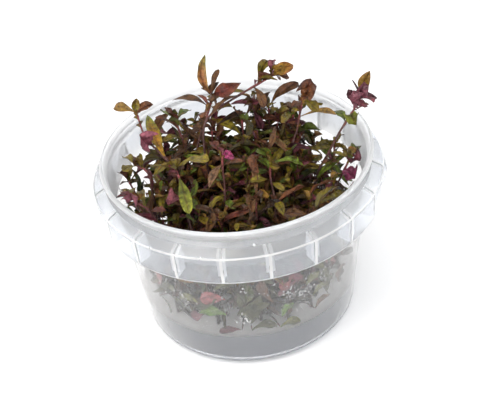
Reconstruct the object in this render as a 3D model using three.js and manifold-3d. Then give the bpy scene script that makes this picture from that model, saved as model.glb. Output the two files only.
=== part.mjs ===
// Giant red rotala grown in gel in a clear culture tub.
// Millimetres, +Z up. The origin is the centre of the underside of the tub, and the plants are seen from -Y.

import * as THREE from 'three';
import { mergeVertices } from 'three/addons/utils/BufferGeometryUtils.js';
import Module from 'manifold-3d';

const wasm = await Module();
wasm.setup();
const { Manifold, Mesh: SolidMesh } = wasm;

// Driving dimensions of the tub
const TUB_HEIGHT = 65.3;
const COLLAR_RADIUS = 50;
const BASE_RADIUS = 37.8; // where the line of the wall meets the ground
const WALL_SLOPE = 0.118; // the wall leans out by this much for each millimetre of height
const WALL = 0.8;
const FLOOR = 1.1;
const CORNER = 4; // outer radius of the rounded corner between base and wall
const LEDGE_TOP = 61.1; // where the ledge leaves the wall
const LEDGE_EDGE = 57.9; // where the ledge turns down into the skirt
const SKIRT_BOTTOM = 47.2;
const SKIRT_RADIUS = 49.4; // outer radius at the skirt's bottom edge
const LIP_RADIUS = 46.8;
const LIP_INNER_RADIUS = 45.3;
const LIP_ROUNDING = 0.7; // height of the rounded outer edge of the lip
const RIB_TOP = 2; // thickness of a rib under the ledge
const RIB_FOOT = 0.7; // and at the skirt's bottom edge
const TAB_FROM = -9; // bearings of the pull tab's ends
const TAB_TO = 22;
const TAB_REACH = 1.3; // how far the pull tab stands out from the collar
const TAB_HEIGHT = 5.6;
const RIBS = 20;
const FIRST_RIB = -100; // bearing in degrees
const SEGMENTS = 2 * RIBS;

// Driving dimensions of the contents
const GEL_LEVEL = 13.6;
const GEL_CLIMB = 0.9; // how far the gel creeps up the wall
const GEL_CLIMB_WIDTH = 2;
const GEL_HOLLOW = 0.4; // dip of its surface towards the middle
const GAP = 0.3; // between pieces that touch
const CRUMB = 0.12; // edges shorter than this are closed up after a cut
const STEM_RADIUS = 0.7;
const STEM_FOOT = 7; // height of the cut ends of the stems, inside the gel
const STEM_GRID = { sides: 5, steps: 6 };
const UNDER_STEM_GRID = { sides: 4, steps: 3 };
const LEAF_THICKNESS = 0.6;
const LEAF_FOLD = 0.3; // rise of a leaf's edges above its midrib, as a share of its half width
const LEAF_ARCH = 0.1; // bulge of a leaf between root and tip, as a share of its length
const WALL_CLEARANCE = 2.2; // from the wall to a leaf's midrib
const RIM_CLEARANCE = 2; // height above the rim from where leaves may reach over it

const COLOURS = {
  tub: 0xe9ecee,
  gel: 0xc9c6cc,
  stem: 0x5c2f33,
  olive: 0x6f6a22,
  green: 0x55652f,
  ochre: 0xa57c3d,
  rust: 0x8a4a28,
  brown: 0x5f4530,
  red: 0x6e2a26,
  pink: 0xa3626a,
  plum: 0x5a2a3a,
};

// The shoots that show by themselves. A stem lists the points that it passes, from the gel to its tip. A leaf
// is [share of the stem's length, bearing, rise, length, width, colour], angles in degrees; the bearing is
// the compass direction of the leaf seen from above, from +X towards +Y.
const TALL_SHOOTS = {
  left_tall: {
    stem: [
      [-13, -8], [-19.5, -9, 53], [-20.5, -6, 61], [-23, -3, 65],
      [-26.5, 1, 67.5], [-30, 5, 70.5], [-32, 8, 79],
    ],
    leaves: [
      [1, 145, 0, 9, 3.2, 'ochre'],
      [1, -70, 66, 8, 2.8, 'olive'],
      [0.99, -29, 37, 9, 3.4, 'rust'],
      [0.76, 108, 33, 18, 3.8, 'olive'],
      [0.85, -144, 56, 7, 4.4, 'pink'],
    ],
  },
  middle_tall: {
    stem: [[-10, 2], [-14, 6, 58], [-12.5, 7, 64.5], [-10.5, 9, 68.5], [-8, 12, 73], [-6, 14, 78]],
    leaves: [
      [1, 95, 52, 15, 3.6, 'ochre'],
      [1, -7, 27, 11, 5, 'red'],
      [0.99, 60, 45, 10.5, 2.2, 'brown'],
      [0.97, 25, 0, 14, 1.8, 'olive'],
      [0.95, 148, 2, 15, 2.6, 'brown'],
    ],
  },
  arching: {
    stem: [
      [-4, 4], [-10.5, 0, 66], [-9.5, 4, 73.5], [-6.5, 7, 76],
      [-2, 10, 77], [7.5, 16, 78.5], [15.5, 20, 80],
    ],
    leaves: [
      [0.94, 61, 30, 10, 3.2, 'olive'],
      [1, -65, 83, 7, 2.8, 'pink'],
      [1, -28, 35, 10, 4.2, 'rust'],
      [0.92, -68, -26, 9, 3, 'brown'],
      [0.86, -139, -7, 14, 3.6, 'brown'],
    ],
  },
  round_tip: {
    stem: [[10, 6], [16.5, 4, 53.5], [19.5, 8, 58.5], [22, 11, 62.5], [23.5, 14, 66.5], [25.5, 16, 72.5]],
    leaves: [
      [1, -41, 67, 9, 5.6, 'red'],
      [0.98, -129, 13, 6, 3, 'rust'],
      [0.98, -54, 0, 8, 3.6, 'olive'],
      [0.9, 14, -8, 14, 3, 'ochre'],
    ],
  },
  right_tall: {
    stem: [[22, 0], [27, -3, 52.5], [32, 0, 60], [36.5, 3, 66], [39.5, 5, 69], [42, 7, 71.5], [44, 8, 75]],
    leaves: [
      [1, 45, 50, 9.5, 3.4, 'ochre'],
      [0.99, -132, 37, 7, 4, 'plum'],
      [1, -73, 63, 8, 3.8, 'plum'],
      [0.99, -52, 12, 7, 3, 'pink'],
      [0.92, -84, -6, 6, 4, 'olive'],
      [0.87, 113, 9, 8, 3, 'green'],
    ],
  },
};

// Lower shoots that show, each one piece with its leaves
const LOW_SHOOTS = {
  right_low: {
    stem: [[27, -9], [30, -11, 49], [33.5, -8, 52], [36, -6, 55.5], [38.5, -4, 59]],
    leaves: [
      [1, 60, 0, 9, 3.8, 'green'],
      [0.97, -39, 21, 7, 4, 'plum'],
      [0.92, -67, 0, 7, 4.6, 'plum'],
      [0.99, 133, -3, 8, 2, 'olive'],
      [0.89, -126, 25, 8, 3.4, 'ochre'],
    ],
  },
  left_low: {
    stem: [[-25, -8], [-29.5, -10, 59], [-29.5, -9, 64.5], [-31.5, -8, 67], [-34, -8, 68.5]],
    leaves: [
      [1, 124, 0, 8, 3.2, 'olive'],
      [1, -136, 10, 6, 3.6, 'olive'],
      [0.93, 122, 4, 9, 3, 'brown'],
      [0.87, 65, -4, 11, 3.4, 'olive'],
    ],
  },
  front_left: {
    stem: [[-26, -20], [-28, -25, 55.5], [-30, -23, 60], [-33, -22, 62.5], [-35.5, -21, 64.5]],
    leaves: [
      [1, 122, 0, 7, 3.4, 'ochre'],
      [0.99, -88, 69, 5, 5, 'pink'],
      [0.91, 99, 0, 12, 3, 'olive'],
      [0.88, -41, 22, 8, 3.6, 'red'],
    ],
  },
  back_left: {
    stem: [[-20, 12], [-17, 6, 63], [-18, 9, 66], [-19, 11, 69.5], [-19.5, 12, 72.5]],
    leaves: [
      [1, 119, 0, 9, 3.2, 'green'],
      [0.98, 56, -3, 9, 3, 'green'],
      [0.96, -138, 65, 9, 4.2, 'red'],
      [0.93, -142, 45, 13, 3, 'rust'],
      [0.89, -137, 25, 9, 3, 'olive'],
    ],
  },
  front_middle: {
    stem: [[-12, -20], [-18, -22, 56], [-18.5, -18, 61.5], [-19.5, -14, 65.5], [-21, -11, 68]],
    leaves: [
      [0.99, -29, 25, 15, 4.2, 'olive'],
      [0.94, -81, -13, 16, 4.4, 'olive'],
      [0.97, -142, 35, 12, 3.4, 'olive'],
      [0.83, -128, 19, 9, 4, 'pink'],
    ],
  },
  front_right: {
    stem: [[16, -16], [11, -22, 52], [11, -18, 57], [10.5, -13, 60.5], [11, -9, 64.5]],
    leaves: [
      [1, 16, -18, 13, 3.6, 'green'],
      [0.89, -63, 12, 8, 2.6, 'olive'],
      [0.9, -147, 25, 9, 3, 'olive'],
      [0.79, -77, 5, 10, 3, 'olive'],
      [0.96, 117, 3, 10, 3.6, 'green'],
    ],
  },
  middle_low: {
    stem: [[-3, -9], [-5.5, -16, 54], [-5, -12, 59.5], [-5, -9, 64], [-4.5, -6, 68.5]],
    leaves: [
      [0.94, -116, -11, 12, 3.2, 'brown'],
      [1, -52, 14, 6, 4.4, 'pink'],
      [1, 112, 0, 8, 3.4, 'red'],
      [0.93, -29, 25, 9, 3.2, 'rust'],
      [0.78, -130, 0, 10, 3, 'olive'],
      [0.75, -66, 11, 8, 2.8, 'green'],
    ],
  },
};

// The short shoots between them: where each stands in the gel and how high it reaches, in millimetres
const UNDERGROWTH = [
  [2, -30, 56], [-13, -30, 54], [20, -26, 55], [32, -13, 50], [32, 9, 56], [20, 16, 66],
  [3, 14, 67], [8, 29, 48], [-10, 21, 60], [-26, 22, 56], [-33, 6, 52], [9, -3, 65],
  [22, 26, 60], [4, -20, 60], [-20, 1, 62], [-32, -11, 50], [12, 21, 66], [-7, 12, 67], [11, -31, 52],
];
const CROWN_PAIRS = 3; // pairs of leaves near the tip
const PAIR_SPACING = 7.5; // between one pair and the next
const FOOT_PAIR = 20; // height of the lowest pair, just above the gel
const UNDER_LEAF = 13;
const UNDER_LEAF_WIDTH = 4;
const UNDER_COLOURS = ['green', 'olive', 'brown', 'pink', 'olive', 'red'];
const UNDER_LEAN = [1.05, 1.2]; // distance of a tip from the axis, as a multiple of its foot's
const UNDER_BOW = 1.5; // most that the middle of a stem stands aside
const UNDER_TURN = 15; // most that a leaf is turned out of its cross, in degrees
const UNDER_RISE = [5, 35]; // in degrees
const UNDER_SPREAD = 0.15; // leaves are this share longer or shorter

// A repeatable stream of numbers from 0 to 1
let seed = 20;
function random() {
  seed = (seed * 48271) % 2147483647;
  return seed / 2147483647;
}

function between(low, high) {
  return low + (high - low) * random();
}

const radians = THREE.MathUtils.degToRad;
const wallRadius = (z) => BASE_RADIUS + WALL_SLOPE * z;
const innerRadius = (z) => wallRadius(z) - WALL;

// Solids and meshes

function toSolid(geometry) {
  const bare = new THREE.BufferGeometry();
  bare.setAttribute('position', geometry.getAttribute('position'));
  bare.setIndex(geometry.getIndex());
  const merged = mergeVertices(bare, 1e-4);
  const triangles = [];
  const index = merged.getIndex().array;
  for (let i = 0; i < index.length; i += 3) {
    const [a, b, c] = index.slice(i, i + 3);
    if (a !== b && b !== c && c !== a) triangles.push(a, b, c);
  }
  const vertProperties = Float32Array.from(merged.getAttribute('position').array);
  return new Manifold(new SolidMesh({ numProp: 3, vertProperties, triVerts: Uint32Array.from(triangles) }));
}

function toMesh(name, solid, colour, finish = {}) {
  const { vertProperties, triVerts } = solid.getMesh();
  const geometry = new THREE.BufferGeometry();
  geometry.setAttribute('position', new THREE.BufferAttribute(vertProperties, 3));
  geometry.setIndex(new THREE.BufferAttribute(triVerts, 1));
  geometry.computeVertexNormals();
  const look = { color: COLOURS[colour], roughness: 0.5, metalness: 0, ...finish };
  const mesh = new THREE.Mesh(geometry, new THREE.MeshStandardMaterial(look));
  mesh.name = name;
  return mesh;
}

// The main body of a solid that cutting has parted, without crumbs and hair-thin necks
function largestBody(solid) {
  const bodies = solid.simplify(CRUMB).decompose();
  return bodies.reduce((best, body) => (body.volume() > best.volume() ? body : best));
}

function uniteAll(solids) {
  return solids.reduce((whole, solid) => whole.add(solid));
}

// A solid of revolution about Z from [radius, height] points that run up its outside
function turned(points) {
  const profile = points.map(([r, z]) => new THREE.Vector2(r, z));
  const geometry = new THREE.LatheGeometry(profile, SEGMENTS);
  geometry.rotateX(Math.PI / 2);
  geometry.rotateZ(radians(FIRST_RIB + 180 / SEGMENTS)); // a rib meets the middle of a facet
  return toSolid(geometry);
}

// Points of an arc in a profile, angles in degrees from the outward direction towards up
function arc(r, z, radius, from, to, steps) {
  const points = [];
  for (let i = 0; i <= steps; i += 1) {
    const angle = radians(from + ((to - from) * i) / steps);
    points.push([r + radius * Math.cos(angle), z + radius * Math.sin(angle)]);
  }
  return points;
}

// The tub

function tubShell() {
  const cornerCentre = wallRadius(CORNER) - CORNER;
  const insideCorner = CORNER - WALL;
  const insideCentre = innerRadius(FLOOR + insideCorner) - insideCorner;
  const underLedge = LEDGE_EDGE + 0.6; // where the underside of the ledge meets the wall
  const bend = 1.1; // from the ledge's outer edge to the inside of its bend
  return turned([
    [0, 0],
    ...arc(cornerCentre, CORNER, CORNER, -90, -6, 2),
    [wallRadius(LEDGE_EDGE), underLedge],
    [COLLAR_RADIUS - bend, LEDGE_EDGE - bend],
    [SKIRT_RADIUS - WALL, SKIRT_BOTTOM],
    [SKIRT_RADIUS, SKIRT_BOTTOM],
    [COLLAR_RADIUS, LEDGE_EDGE],
    [wallRadius(LEDGE_TOP), LEDGE_TOP],
    [LIP_RADIUS, TUB_HEIGHT - LIP_ROUNDING],
    [LIP_RADIUS - LIP_ROUNDING / 2, TUB_HEIGHT],
    [LIP_INNER_RADIUS, TUB_HEIGHT],
    [innerRadius(LEDGE_TOP), LEDGE_TOP - WALL],
    ...arc(insideCentre, FLOOR + insideCorner, insideCorner, -6, -90, 2),
    [0, FLOOR],
  ]);
}

// A rib under the ledge, from the wall to the skirt, thick at the top and thin at the skirt's bottom edge
function rib(bearing) {
  const top = LEDGE_EDGE;
  const bottom = SKIRT_BOTTOM + WALL;
  const bite = WALL / 2;
  const bendInset = 1.2; // keeps the outer top corner inside the ledge's bend
  const box = new THREE.BoxGeometry(1, 1, 1);
  const position = box.getAttribute('position');
  for (let i = 0; i < position.count; i += 1) {
    const isTop = position.getZ(i) > 0;
    const isOuter = position.getX(i) > 0;
    const z = isTop ? top : bottom;
    const skirt = THREE.MathUtils.mapLinear(z, SKIRT_BOTTOM, top, SKIRT_RADIUS, COLLAR_RADIUS) - bite;
    const outer = isTop ? skirt - bendInset : skirt;
    const thickness = isTop ? RIB_TOP : RIB_FOOT;
    position.setXYZ(i, isOuter ? outer : wallRadius(z) - bite, position.getY(i) * thickness, z);
  }
  box.rotateZ(radians(bearing));
  return toSolid(box);
}

// The stretch of collar that flares out, where a finger lifts the lid's band
function pullTab() {
  const outline = new THREE.Shape();
  outline.absarc(0, 0, COLLAR_RADIUS + TAB_REACH, radians(TAB_FROM), radians(TAB_TO), false);
  outline.absarc(0, 0, COLLAR_RADIUS - WALL, radians(TAB_TO), radians(TAB_FROM), true);
  const extent = { depth: TAB_HEIGHT, bevelEnabled: false, curveSegments: 5 };
  const plate = new THREE.ExtrudeGeometry(outline, extent);
  plate.translate(0, 0, LEDGE_EDGE - GAP - TAB_HEIGHT);
  return toSolid(plate);
}

function tub() {
  const ribs = Array.from({ length: RIBS }, (_, i) => rib(FIRST_RIB + (i * 360) / RIBS));
  return uniteAll([tubShell(), ...ribs, pullTab()]);
}

// The gel, before the stems are let into it
function gelLayer() {
  const corner = CORNER - WALL - GAP;
  const bottom = FLOOR + GAP;
  const rim = (z) => innerRadius(z) - GAP;
  return turned([
    [0, bottom],
    ...arc(rim(bottom + corner) - corner, bottom + corner, corner, -90, -6, 2),
    [rim(GEL_LEVEL + GEL_CLIMB), GEL_LEVEL + GEL_CLIMB],
    [rim(GEL_LEVEL) - GEL_CLIMB_WIDTH, GEL_LEVEL],
    [0, GEL_LEVEL - GEL_HOLLOW],
  ]);
}

// Leaves and stems

// A leaf from its root, along its bearing and rise: a thin pointed lens, folded along the midrib and arched.
// Clearance makes it larger on every side.
function leafSolid(leaf, rings, clearance = 0) {
  const { root, tip } = leaf;
  const along = new THREE.Vector3().subVectors(tip, root);
  const length = along.length();
  along.normalize();
  const bearing = Math.atan2(along.y, along.x);
  const across = new THREE.Vector3(-Math.sin(bearing), Math.cos(bearing), 0);
  const facing = new THREE.Vector3().crossVectors(along, across);
  const halfWidth = leaf.width / 2 + clearance;
  const halfThickness = LEAF_THICKNESS / 2 + clearance;
  const lens = new THREE.SphereGeometry(1, 4, rings);
  const position = lens.getAttribute('position');
  const point = new THREE.Vector3();
  for (let i = 0; i < position.count; i += 1) {
    const share = (1 - position.getY(i)) / 2;
    const side = position.getX(i);
    const lift = LEAF_FOLD * Math.abs(side) * halfWidth + LEAF_ARCH * length * 4 * share * (1 - share);
    point.copy(root)
      .addScaledVector(along, length * share + clearance * (2 * share - 1))
      .addScaledVector(across, side * halfWidth)
      .addScaledVector(facing, position.getZ(i) * halfThickness + lift);
    position.setXYZ(i, point.x, point.y, point.z);
  }
  return toSolid(lens);
}

// A leaf keeps clear of the tub's wall: a point below the rim moves in towards the axis until it does
function keepInside(point) {
  const radius = Math.hypot(point.x, point.y);
  const most = innerRadius(Math.min(point.z, TUB_HEIGHT)) - WALL_CLEARANCE;
  if (point.z < TUB_HEIGHT + RIM_CLEARANCE && radius > most) {
    point.x *= most / radius;
    point.y *= most / radius;
  }
  return point;
}

// A leaf that is a piece of its own starts just outside its stem, and one that is joined to it starts inside
function leafOnStem(curve, [share, bearing, rise, length, width, colour], isApart) {
  const start = isApart ? STEM_RADIUS + GAP : -STEM_RADIUS / 2;
  const station = isApart ? share : Math.min(share, 1 - STEM_RADIUS / curve.getLength());
  const direction = new THREE.Vector3(
    Math.cos(radians(rise)) * Math.cos(radians(bearing)),
    Math.cos(radians(rise)) * Math.sin(radians(bearing)),
    Math.sin(radians(rise)),
  );
  const root = curve.getPointAt(station).addScaledVector(direction, start);
  const tip = keepInside(root.clone().addScaledVector(direction, length - start));
  return { root, tip, width, colour };
}

function stemCurve(points) {
  const places = points.map(([x, y, z = STEM_FOOT]) => new THREE.Vector3(x, y, z));
  return new THREE.CatmullRomCurve3(places, false, 'centripetal');
}

function stemSolid(curve, { sides, steps }, clearance = 0) {
  const section = new THREE.Shape();
  for (let i = 0; i < sides; i += 1) {
    const angle = (i * 2 * Math.PI) / sides;
    const radius = STEM_RADIUS + clearance;
    section[i ? 'lineTo' : 'moveTo'](radius * Math.cos(angle), radius * Math.sin(angle));
  }
  return toSolid(new THREE.ExtrudeGeometry(section, { steps, extrudePath: curve, curveSegments: 1 }));
}

// An undergrowth shoot leans out towards the wall and carries crossed pairs of leaves
function undergrowthPlan([x, y, height]) {
  const lean = between(...UNDER_LEAN);
  const aside = () => between(-UNDER_BOW, UNDER_BOW);
  const middle = [x + aside(), y + aside(), (STEM_FOOT + height) / 2];
  const stem = [[x, y], middle, [x * lean, y * lean, height]];
  const twist = between(0, 90);
  const leaves = [];
  const heights = Array.from({ length: CROWN_PAIRS }, (_, pair) => height - 1 - pair * PAIR_SPACING);
  [...heights, FOOT_PAIR].forEach((z, pair) => {
    const share = (z - STEM_FOOT) / (height - STEM_FOOT);
    for (const half of [0, 180]) {
      const bearing = twist + pair * 90 + half + between(-UNDER_TURN, UNDER_TURN);
      const rise = between(...UNDER_RISE);
      const length = UNDER_LEAF * between(1 - UNDER_SPREAD, 1 + UNDER_SPREAD);
      const colour = UNDER_COLOURS[Math.floor(random() * UNDER_COLOURS.length)];
      leaves.push([share, bearing, rise, length, UNDER_LEAF_WIDTH, colour]);
    }
  });
  return { stem, leaves };
}

function plannedShoots() {
  const shoots = [];
  for (const [name, plan] of Object.entries(TALL_SHOOTS)) {
    shoots.push({ name, ...plan, apart: true, rings: 4, grid: STEM_GRID });
  }
  for (const [name, plan] of Object.entries(LOW_SHOOTS)) {
    shoots.push({ name, ...plan, apart: false, rings: 3, grid: STEM_GRID });
  }
  UNDERGROWTH.forEach((place, i) => {
    const name = `undergrowth_${String(i + 1).padStart(2, '0')}`;
    const plan = undergrowthPlan(place);
    shoots.push({ name, ...plan, apart: false, rings: 2, grid: UNDER_STEM_GRID, skipsBlocked: true });
  });
  return shoots;
}

const model = new THREE.Group();
model.name = 'rotala_tub';

const shoots = plannedShoots();
for (const shoot of shoots) {
  const curve = stemCurve(shoot.stem);
  shoot.stemBody = stemSolid(curve, shoot.grid);
  shoot.stemRoom = stemSolid(curve, shoot.grid, GAP);
  shoot.leafPlans = shoot.leaves.map((leaf) => leafOnStem(curve, leaf, shoot.apart));
}

model.add(toMesh('tub', tub(), 'tub', { roughness: 0.15, transparent: true, opacity: 0.35 }));
const sockets = uniteAll(shoots.map((shoot) => shoot.stemRoom));
model.add(toMesh('nutrient_gel', largestBody(gelLayer().subtract(sockets)), 'gel', { roughness: 0.25 }));

// A leaf that would run into a stem or an earlier leaf is cut back, or left out if the shoot is undergrowth
const leafRooms = [];
for (const shoot of shoots) {
  const stems = shoot.apart ? shoots : shoots.filter((other) => other !== shoot);
  const taken = uniteAll([...stems.map((other) => other.stemRoom), ...leafRooms]);
  const leaves = [];
  for (const plan of shoot.leafPlans) {
    const whole = leafSolid(plan, shoot.rings);
    const isBlocked = !whole.intersect(taken).isEmpty();
    if (shoot.skipsBlocked && isBlocked) continue;
    leaves.push({ plan, body: isBlocked ? whole.subtract(taken) : whole });
  }
  if (shoot.apart) {
    model.add(toMesh(`${shoot.name}_stem`, shoot.stemBody, 'stem'));
    leaves.forEach(({ plan, body }, i) => {
      model.add(toMesh(`${shoot.name}_leaf_${i + 1}`, largestBody(body), plan.colour));
    });
  } else {
    const grown = uniteAll([shoot.stemBody, ...leaves.map(({ body }) => body)]);
    model.add(toMesh(shoot.name, largestBody(grown), shoot.leafPlans[0].colour));
  }
  leafRooms.push(...leaves.map(({ plan }) => leafSolid(plan, shoot.rings, GAP)));
}

export default model;
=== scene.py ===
"""Giant red rotala grown in gel in a clear culture tub: its tub, gel, stems, leaves and dew, ready to render.

Plans are in millimetres, as the plants were measured, and every mesh is made in metres.
"""

import functools
import math
import random

import bpy
import numpy as np
from mathutils import Matrix, Quaternion, Vector


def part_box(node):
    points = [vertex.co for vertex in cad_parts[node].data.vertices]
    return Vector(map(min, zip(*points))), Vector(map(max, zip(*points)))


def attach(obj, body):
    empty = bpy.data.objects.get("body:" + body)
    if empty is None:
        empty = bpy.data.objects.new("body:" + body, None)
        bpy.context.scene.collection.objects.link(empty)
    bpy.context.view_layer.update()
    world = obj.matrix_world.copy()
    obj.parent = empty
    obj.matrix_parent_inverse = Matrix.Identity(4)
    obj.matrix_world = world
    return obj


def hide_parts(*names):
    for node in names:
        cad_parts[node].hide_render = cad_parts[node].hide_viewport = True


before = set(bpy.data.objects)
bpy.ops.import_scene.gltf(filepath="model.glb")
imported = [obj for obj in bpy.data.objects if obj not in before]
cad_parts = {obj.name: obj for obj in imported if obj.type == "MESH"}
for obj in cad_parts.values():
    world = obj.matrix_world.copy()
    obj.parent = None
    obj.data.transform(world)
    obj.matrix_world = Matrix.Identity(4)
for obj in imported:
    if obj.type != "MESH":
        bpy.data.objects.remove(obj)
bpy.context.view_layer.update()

MM = 0.001

# Sizes of the tub
TUB_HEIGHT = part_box("tub")[1].z / MM
COLLAR_RADIUS = 50
BASE_RADIUS = 37.8
WALL_SLOPE = 0.118
WALL = 0.8
FLOOR = 1.1
CORNER = 4
LEDGE_TOP = 61.1
LEDGE_EDGE = 57.9
SKIRT_BOTTOM = 47.2
SKIRT_RADIUS = 49.4
LIP_RADIUS = 46.8
LIP_INNER_RADIUS = 45.3
RIBS = 20
FIRST_RIB = -100
RIB_TOP = 2
RIB_FOOT = 0.7
TAB_FROM = -9
TAB_TO = 22
TAB_REACH = 1.3
TURNS = 320

# Sizes and finishes of the contents, with the gel's finishes as [colour, clearness, roughness]; the white
# second finish is painted light on the gel's top skin
GEL_FINISHES = {"agar": [(0.29, 0.305, 0.345), 0.5, 0.25], "agar_painted_light_top": [(1, 1, 1), 0, 0.4]}
GEL_LEVEL = 13.6
GEL_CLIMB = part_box("nutrient_gel")[1].z / MM - GEL_LEVEL
GEL_GAP = 0.06
GEL_SKIN = 1.2
LEAF_GAP = 0.3
STEM_RADIUS = 0.7
STEM_FOOT = 7
STEM_START = 0.85
STEM_TAPER = 0.4
STEM_END = 0.35
KNOT_LENGTH = 0.012
KNOT_SWELL = 0.4
LEAF_ARCH = 0.1
LEAF_THICKNESS = 0.24
WALL_CLEARANCE = 2.2
RIM_CLEARANCE = 2
SKIN_CLEARANCE = 0.35

# Rows and columns of faces on a leaf, and the angles in degrees past which edges stay sharp
TALL_LEAF_FACES = (18, 10)
LOW_LEAF_FACES = (14, 8)
PLAIN_LEAF_FACES = (9, 6)
SMALL_LEAF_FACES = (6, 4)
TUB_CREASE = 28
FLOOR_CREASE = 30
GEL_CREASE = 40
BEAD_CREASE = 60
LEAF_CREASE = 70

# Finishes of the tub as [colour, clearness, roughness where dry, roughness where fogged, grain]
TUB_FINISHES = {
    "wall_plastic": [(1, 1, 1), 0.975, 0.02, 0.1, 0.1],
    "collar_plastic": [(0.92, 0.95, 1), 0.9, 0.16, 0.16, 0.1],
    "rim_plastic": [(0.96, 0.97, 0.98), 0.8, 0.3, 0.3, 0.1],
    "edge_plastic": [(1, 1, 1), 0.68, 0.3, 0.3, 0.05],
    "frosted_plastic": [(1, 1, 1), 0.86, 0.5, 0.5, 0.1],
    "ledge_plastic": [(0.95, 0.97, 1), 0.9, 0.24, 0.24, 0.1],
}
WALL_FINISH, COLLAR_FINISH, RIM_FINISH, EDGE_FINISH, INSIDE_FINISH, LEDGE_FINISH = range(len(TUB_FINISHES))

# Each shoot as its stem, in [x, y, z] points from the gel up, and its leaves, each as
# [share of the stem, bearing, rise, length, width, colour], in millimetres and degrees
TALL_SHOOTS = {
    "left_tall": (
        [[-13, -8], [-19.5, -9, 53], [-20.5, -6, 61], [-23, -3, 65], [-26.5, 1, 67.5], [-30, 5, 70.5],
         [-32, 8, 79]],
        [[1, 145, 0, 9, 3.2, "ochre"], [1, -70, 66, 8, 2.8, "olive"], [0.99, -29, 37, 9, 3.4, "rust"],
         [0.76, 108, 33, 18, 3.8, "olive"], [0.85, -144, 56, 7, 4.4, "pink"]],
    ),
    "middle_tall": (
        [[-10, 2], [-14, 6, 58], [-12.5, 7, 64.5], [-10.5, 9, 68.5], [-8, 12, 73], [-6, 14, 78]],
        [[1, 95, 52, 15, 3.6, "ochre"], [1, -7, 27, 11, 5, "red"], [0.99, 60, 45, 10.5, 2.2, "brown"],
         [0.97, 25, 0, 14, 1.8, "olive"], [0.95, 148, 2, 15, 2.6, "brown"]],
    ),
    "arching": (
        [[-4, 4], [-10.5, 0, 66], [-9.5, 4, 73.5], [-6.5, 7, 76], [-2, 10, 77], [7.5, 16, 78.5],
         [15.5, 20, 80]],
        [[0.94, 61, 30, 10, 3.2, "olive"], [1, -65, 83, 7, 2.8, "pink"], [1, -28, 35, 10, 4.2, "rust"],
         [0.92, -68, -26, 9, 3, "brown"], [0.86, -139, -7, 14, 3.6, "brown"]],
    ),
    "round_tip": (
        [[10, 6], [16.5, 4, 53.5], [19.5, 8, 58.5], [22, 11, 62.5], [23.5, 14, 66.5], [25.5, 16, 72.5]],
        [[1, -41, 67, 9, 5.6, "red"], [0.98, -129, 13, 6, 3, "rust"], [0.98, -54, 0, 8, 3.6, "olive"],
         [0.9, 14, -8, 14, 3, "ochre"]],
    ),
    "right_tall": (
        [[22, 0], [27, -3, 52.5], [32, 0, 60], [36.5, 3, 66], [39.5, 5, 69], [42, 7, 71.5], [44, 8, 75]],
        [[1, 45, 50, 9.5, 3.4, "ochre"], [0.99, -132, 37, 7, 4, "plum"], [1, -73, 63, 8, 3.8, "plum"],
         [0.99, -52, 12, 7, 3, "pink"], [0.92, -84, -6, 6, 4, "olive"], [0.87, 113, 9, 8, 3, "green"]],
    ),
}
LOW_SHOOTS = {
    "right_low": (
        [[27, -9], [30, -11, 49], [33.5, -8, 52], [36, -6, 55.5], [38.5, -4, 59]],
        [[1, 60, 0, 9, 3.8, "green"], [0.97, -39, 21, 7, 4, "plum"], [0.92, -67, 0, 7, 4.6, "plum"],
         [0.99, 133, -3, 8, 2, "olive"], [0.89, -126, 25, 8, 3.4, "ochre"]],
    ),
    "left_low": (
        [[-25, -8], [-29.5, -10, 59], [-29.5, -9, 64.5], [-31.5, -8, 67], [-34, -8, 68.5]],
        [[1, 124, 0, 8, 3.2, "olive"], [1, -136, 10, 6, 3.6, "olive"], [0.93, 122, 4, 9, 3, "brown"],
         [0.87, 65, -4, 11, 3.4, "olive"]],
    ),
    "front_left": (
        [[-26, -20], [-28, -25, 55.5], [-30, -23, 60], [-33, -22, 62.5], [-35.5, -21, 64.5]],
        [[1, 122, 0, 7, 3.4, "ochre"], [0.99, -88, 69, 5, 5, "pink"], [0.91, 99, 0, 12, 3, "olive"],
         [0.88, -41, 22, 8, 3.6, "red"]],
    ),
    "back_left": (
        [[-20, 12], [-17, 6, 63], [-18, 9, 66], [-19, 11, 69.5], [-19.5, 12, 72.5]],
        [[1, 119, 0, 9, 3.2, "green"], [0.98, 56, -3, 9, 3, "green"], [0.96, -138, 65, 9, 4.2, "red"],
         [0.93, -142, 45, 13, 3, "rust"], [0.89, -137, 25, 9, 3, "olive"]],
    ),
    "front_middle": (
        [[-12, -20], [-18, -22, 56], [-18.5, -18, 61.5], [-19.5, -14, 65.5], [-21, -11, 68]],
        [[0.99, -29, 25, 15, 4.2, "olive"], [0.94, -81, -13, 16, 4.4, "olive"],
         [0.97, -142, 35, 12, 3.4, "olive"], [0.83, -128, 19, 9, 4, "pink"]],
    ),
    "front_right": (
        [[16, -16], [11, -22, 52], [11, -18, 57], [10.5, -13, 60.5], [11, -9, 64.5]],
        [[1, 16, -18, 13, 3.6, "green"], [0.89, -63, 12, 8, 2.6, "olive"], [0.9, -147, 25, 9, 3, "olive"],
         [0.79, -77, 5, 10, 3, "olive"], [0.96, 117, 3, 10, 3.6, "green"]],
    ),
    "middle_low": (
        [[-3, -9], [-5.5, -16, 54], [-5, -12, 59.5], [-5, -9, 64], [-4.5, -6, 68.5]],
        [[0.94, -116, -11, 12, 3.2, "brown"], [1, -52, 14, 6, 4.4, "pink"], [1, 112, 0, 8, 3.4, "red"],
         [0.93, -29, 25, 9, 3.2, "rust"], [0.78, -130, 0, 10, 3, "olive"],
         [0.75, -66, 11, 8, 2.8, "green"]],
    ),
}

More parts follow.
